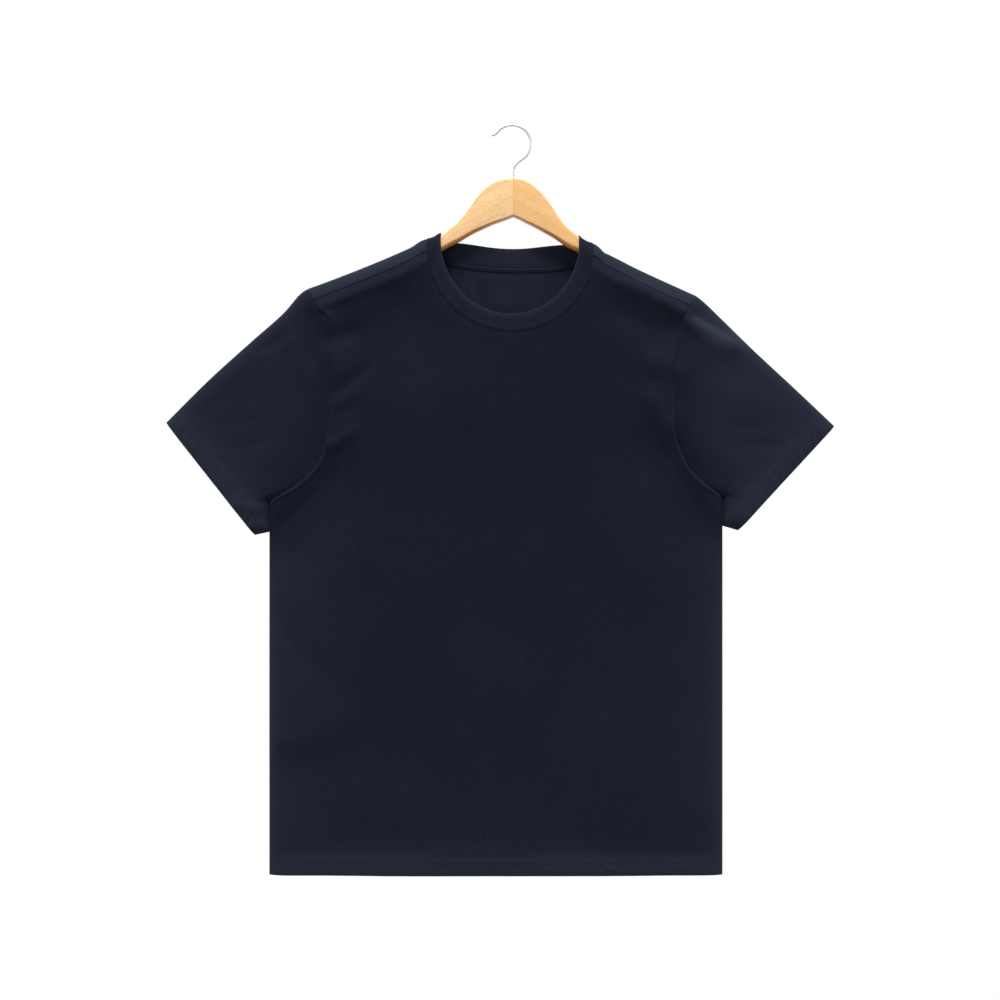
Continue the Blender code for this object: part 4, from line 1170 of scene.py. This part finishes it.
def knit_material(name, knit):
    """Dyed cotton knit: dark and matt, with painted highlights on its edges, folds and crests.

    A wale of this jersey is about 0.8 mm wide, and a rib 1.3 mm. They are drawn about twice as
    coarse, so that they still show, and so are the fibres, as specks of about 1 mm.
    """
    material, tree, shader = blank_material(name, {
        "Roughness": 0.88, "Specular IOR Level": 0.03, "Sheen Weight": 0.05,
        "Sheen Roughness": 0.4, "Sheen Tint": hex_colour("8f9ab4"),
    })
    weave = add_node(tree, "Attribute", {"attribute_name": "weave"})["Vector"]
    place = add_node(tree, "TexCoord")["Object"]
    across, along, painted_light_and_purl = add_node(tree, "SeparateXYZ", links={"Vector": weave})
    wale = add_node(tree, "Math", {"operation": "DIVIDE", 1: knit.wale * MM}, {0: across})
    leg = add_node(tree, "Math", {"operation": "PINGPONG", 1: 0.5}, {0: wale[0]})
    course = add_node(tree, "Math", {"operation": "DIVIDE", 1: KNIT_COURSE * MM}, {0: along})
    slanted = add_node(tree, "Math", {"operation": "MULTIPLY_ADD", 1: 1.1},
                       {0: leg[0], 2: course[0]})
    waves = []
    for phase in (leg, slanted):
        turn = add_node(tree, "Math", {"operation": "MULTIPLY", 1: FULL_TURN}, {0: phase[0]})
        waves.append(add_node(tree, "Math", {"operation": "SINE"}, {0: turn[0]})[0])
    column, loops = waves
    shallow = add_node(tree, "Math", {"operation": "MULTIPLY", 1: knit.loops}, {0: loops})
    knitted = add_node(tree, "Math", {"operation": "MULTIPLY_ADD", 1: knit.columns},
                       {0: column, 2: shallow[0]})
    fibre = add_node(tree, "TexNoise", {"Scale": 900, "Detail": 3}, {"Vector": place})
    height = add_node(tree, "Math", {"operation": "MULTIPLY_ADD", 1: 1.2},
                      {0: fibre["Fac"], 2: knitted[0]})
    bump = add_node(tree, "Bump", {"Strength": 0.55, "Distance": 0.00016}, {"Height": height[0]})
    cloud = add_node(tree, "TexNoise", {"Scale": 7, "Detail": 3, "Roughness": 0.55},
                     {"Vector": place})
    melange = add_node(tree, "TexNoise", {"Scale": 300, "Detail": 3}, {"Vector": place})
    tone = add_node(tree, "Mix", {0: 0.6}, {2: cloud["Fac"], 3: melange["Fac"]})
    spread = add_node(tree, "MapRange", {"From Min": 0.36, "From Max": 0.64}, {"Value": tone[0]})
    dyed = add_node(tree, "Mix", {
        "data_type": "RGBA", 6: hex_colour(knit.dark), 7: hex_colour(knit.light)}, {0: spread[0]})
    # Painted light: painted highlights and the purl side draw the dye towards the paler navy, past
    # it above 1
    lightened = add_node(tree, "Mix", {
        "data_type": "RGBA", "clamp_factor": False, 7: hex_colour(LIT_AND_PURL_NAVY)},
        {0: painted_light_and_purl, 6: dyed[2]})
    tree.links.new(shader.inputs["Base Color"], lightened[2])
    tree.links.new(shader.inputs["Normal"], bump["Normal"])
    return material


def thread_material():
    """Spun polyester sewing thread: the cloth's navy, a little brighter and smoother."""
    material, tree, shader = blank_material("spun polyester thread, navy", {
        "Roughness": 0.7, "Specular IOR Level": 0.2,
    })
    place = add_node(tree, "TexCoord")["Object"]
    twist = add_node(tree, "TexNoise", {"Scale": 1400, "Detail": 1}, {"Vector": place})
    tint = add_node(tree, "Mix", {
        "data_type": "RGBA", 6: hex_colour("1a1e2b"), 7: hex_colour("222736")}, {0: twist["Fac"]})
    tree.links.new(shader.inputs["Base Color"], tint[2])
    return material


# Marks in the wood: how often they come in a metre along, up and through the board, and their look
GRAIN = {
    "bands": ((9, 120, 70), {"Detail": 4, "Distortion": 0.6}),
    "lines": ((14, 260, 120), {"Detail": 2, "Distortion": 1.2}),
    "pores": ((170, 2200, 1500), {"Detail": 1}),
}


def wood_material():
    """Sanded maple under clear satin lacquer: pale honey, close grain, short brown flecks.

    Growth lines lie 3 to 5 mm apart, and the pores' flecks are 0.4 mm wide and 6 mm long. The
    right arm is a little warmer than the left, and what faces down is a deeper brown, a painted
    shade.
    """
    material, tree, shader = blank_material("maple, clear satin lacquer", {
        "Roughness": 0.42, "Coat Weight": 0.25, "Coat Roughness": 0.28,
        "Specular IOR Level": 0.35,
    })
    grain = add_node(tree, "Attribute", {"attribute_name": "weave"})["Vector"]
    marks = {}
    for kind, (scale, look) in GRAIN.items():
        drawn = add_node(tree, "Mapping", {"Scale": scale}, {"Vector": grain})
        marks[kind] = add_node(tree, "TexNoise", {"Scale": 1, **look}, {"Vector": drawn[0]})["Fac"]
    pale, warm = [
        add_node(tree, "Mix", {
            "data_type": "RGBA", 6: hex_colour(early), 7: hex_colour(late)}, {0: marks["bands"]})
        for early, late in (("e7bb83", "edc795"), ("dfaa6a", "e8b97c"))
    ]
    length = add_node(tree, "SeparateXYZ", links={"Vector": grain})[0]
    right_arm_share = add_node(tree, "MapRange", {"From Min": 0.3, "From Max": 0.4}, {"Value": length})
    colour = add_node(tree, "Mix", {"data_type": "RGBA"}, {0: right_arm_share[0], 6: pale[2], 7: warm[2]})
    facing = add_node(tree, "NewGeometry")["Normal"]
    down = add_node(tree, "SeparateXYZ", links={"Vector": facing})["Z"]
    for tone, source, first, full, most in (
        ("d99f58", marks["lines"], 0.48, 0.68, 0.42),
        ("b87a3c", marks["pores"], 0.6, 0.76, 0.7),
        # painted shade: what faces down is drawn a deeper, redder brown
        ("c67c3a", down, -0.1, -0.42, 0.95),
    ):
        amount = add_node(tree, "MapRange", {
            "From Min": first, "From Max": full, "To Max": most}, {"Value": source})
        colour = add_node(tree, "Mix", {"data_type": "RGBA", 7: hex_colour(tone)},
                          {0: amount[0], 6: colour[2]})
    bump = add_node(tree, "Bump", {"Strength": 0.12, "Distance": 0.0002},
                    {"Height": marks["lines"]})
    tree.links.new(shader.inputs["Base Color"], colour[2])
    tree.links.new(shader.inputs["Normal"], bump["Normal"])
    return material


def wire_material():
    """Chromed steel wire: bright, with the fine lengthwise marks that drawing leaves."""
    material, tree, shader = blank_material("chromed steel wire", {
        "Base Color": hex_colour("a6a8aa"), "Metallic": 1,
    })
    place = add_node(tree, "TexCoord")["Object"]
    marks = add_node(tree, "TexNoise", {"Scale": 700, "Detail": 2}, {"Vector": place})
    rough = add_node(tree, "MapRange", {"To Min": 0.3, "To Max": 0.46}, {"Value": marks["Fac"]})
    tree.links.new(shader.inputs["Roughness"], rough[0])
    return material


def paper_material():
    """Matt pale grey background paper."""
    material, tree, shader = blank_material("matt pale grey paper", {
        "Roughness": 0.95, "Specular IOR Level": 0.1,
    })
    place = add_node(tree, "TexCoord")["Object"]
    tooth = add_node(tree, "TexNoise", {"Scale": 40}, {"Vector": place})
    tint = add_node(tree, "Mix", {
        "data_type": "RGBA", 6: hex_colour("9c9c9b"), 7: hex_colour("a2a2a1")}, {0: tooth["Fac"]})
    tree.links.new(shader.inputs["Base Color"], tint[2])
    return material


# ---- studio

# In metres: the camera's aim is the middle of the picture
CAMERA_AIM = (-0.0138, -0.4298)
CAMERA_AWAY = 1.4
FRAME_WIDTH = 1.15
FLOOR_Z = -1.75
FLOOR_SIZE = 3.4
AMBIENT = 0.2
# Lights: name, the place each shines from, its spread in degrees, and its strength
LIGHTS = (
    ("key", (0.06, -1.15, 2.5), 22, 4.7),
    ("fill", (-0.6, -2.6, 0.9), 50, 0.45),
    ("left_rim", (-2.6, -0.25, 0.5), 40, 1.3),
    ("right_rim", (2.6, -0.25, 0.5), 40, 1.5),
    ("rear", (-0.8, 2.5, 1.7), 40, 3.6),
)


def make_studio():
    """A white surround for the camera and the wire, dim soft light, and a pale floor far below."""
    world = bpy.data.worlds.new("white studio")
    bpy.context.scene.world = world
    world.use_nodes = True
    tree = world.node_tree
    tree.nodes.clear()
    seen = add_node(tree, "Background", {"Color": (1, 1, 1, 1), "Strength": 1})
    shed = add_node(tree, "Background", {"Color": (0.93, 0.96, 1, 1), "Strength": AMBIENT})
    path = add_node(tree, "LightPath")
    bright = add_node(tree, "Math", {"operation": "MAXIMUM"},
                      {0: path["Is Camera Ray"], 1: path["Is Glossy Ray"]})
    both = add_node(tree, "MixShader", links={0: bright[0], 1: shed[0], 2: seen[0]})
    add_node(tree, "OutputWorld", links={"Surface": both[0]})
    for name, place, spread, strength in LIGHTS:
        light = bpy.data.lights.new(name, "SUN")
        light.angle = math.radians(spread)
        light.energy = strength
        lamp = bpy.data.objects.new(name, light)
        lamp.location = place
        lamp.rotation_euler = Vector(place).to_track_quat("Z", "Y").to_euler()
        bpy.context.collection.objects.link(lamp)
    bpy.ops.mesh.primitive_plane_add(size=FLOOR_SIZE, location=(0, 0, FLOOR_Z))
    floor = bpy.context.object
    floor.name = "studio_floor"
    floor.data.materials.append(paper_material())
    camera = bpy.data.cameras.new("camera")
    camera.lens = camera.sensor_width * CAMERA_AWAY / FRAME_WIDTH
    eye = bpy.data.objects.new("camera", camera)
    eye.location = (CAMERA_AIM[0], -CAMERA_AWAY, CAMERA_AIM[1])
    eye.rotation_euler = (math.radians(90), 0, 0)
    bpy.context.collection.objects.link(eye)
    bpy.context.scene.camera = eye
    bpy.context.scene.view_settings.view_transform = "Standard"


def dress(piece, slot, *nodes):
    """Let a piece move with the garment and stand for its solids. The slot is not used."""
    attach(piece, "root")
    if nodes:
        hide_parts(*nodes)


def main():
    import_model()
    jersey = knit_material("combed cotton single jersey, navy", JERSEY_KNIT)
    rib = knit_material("cotton one by one rib, navy", RIB_KNIT)
    thread = thread_material()
    wood = wood_material()
    front, back = make_front(jersey), make_back(jersey)
    band, tape = make_neckband(rib), make_neck_tape(jersey)
    dress(front, "jersey", "front")
    dress(back, "jersey", "back")
    dress(band, "rib", "neckband")
    dress(tape, "tape", "neck_tape")
    sewing = {
        "hem_stitches": hem_rows(),
        "shoulder_stitches": shoulder_rows(),
        "neck_stitches": neck_rows(),
    }
    sewn = {name: stitches(name, rows, thread) for name, rows in sewing.items()}
    for piece in sewn.values():
        dress(piece, "jersey")
    arms = [make_arm(side, wood) for side in SIDES]
    for side, arm in zip(SIDES, arms):
        dress(arm, "wood", f"hanger_{side}")
    hook = make_hook(wire_material())
    dress(hook, "wire", "hook")
    for side in SIDES:
        sleeve = make_sleeve(side, jersey)
        cuff = stitches(f"{side}_cuff_stitches", cuff_rows(side), thread)
        dress(sleeve, "jersey", f"sleeve_{side}")
        dress(cuff, "jersey")
    make_studio()


main()
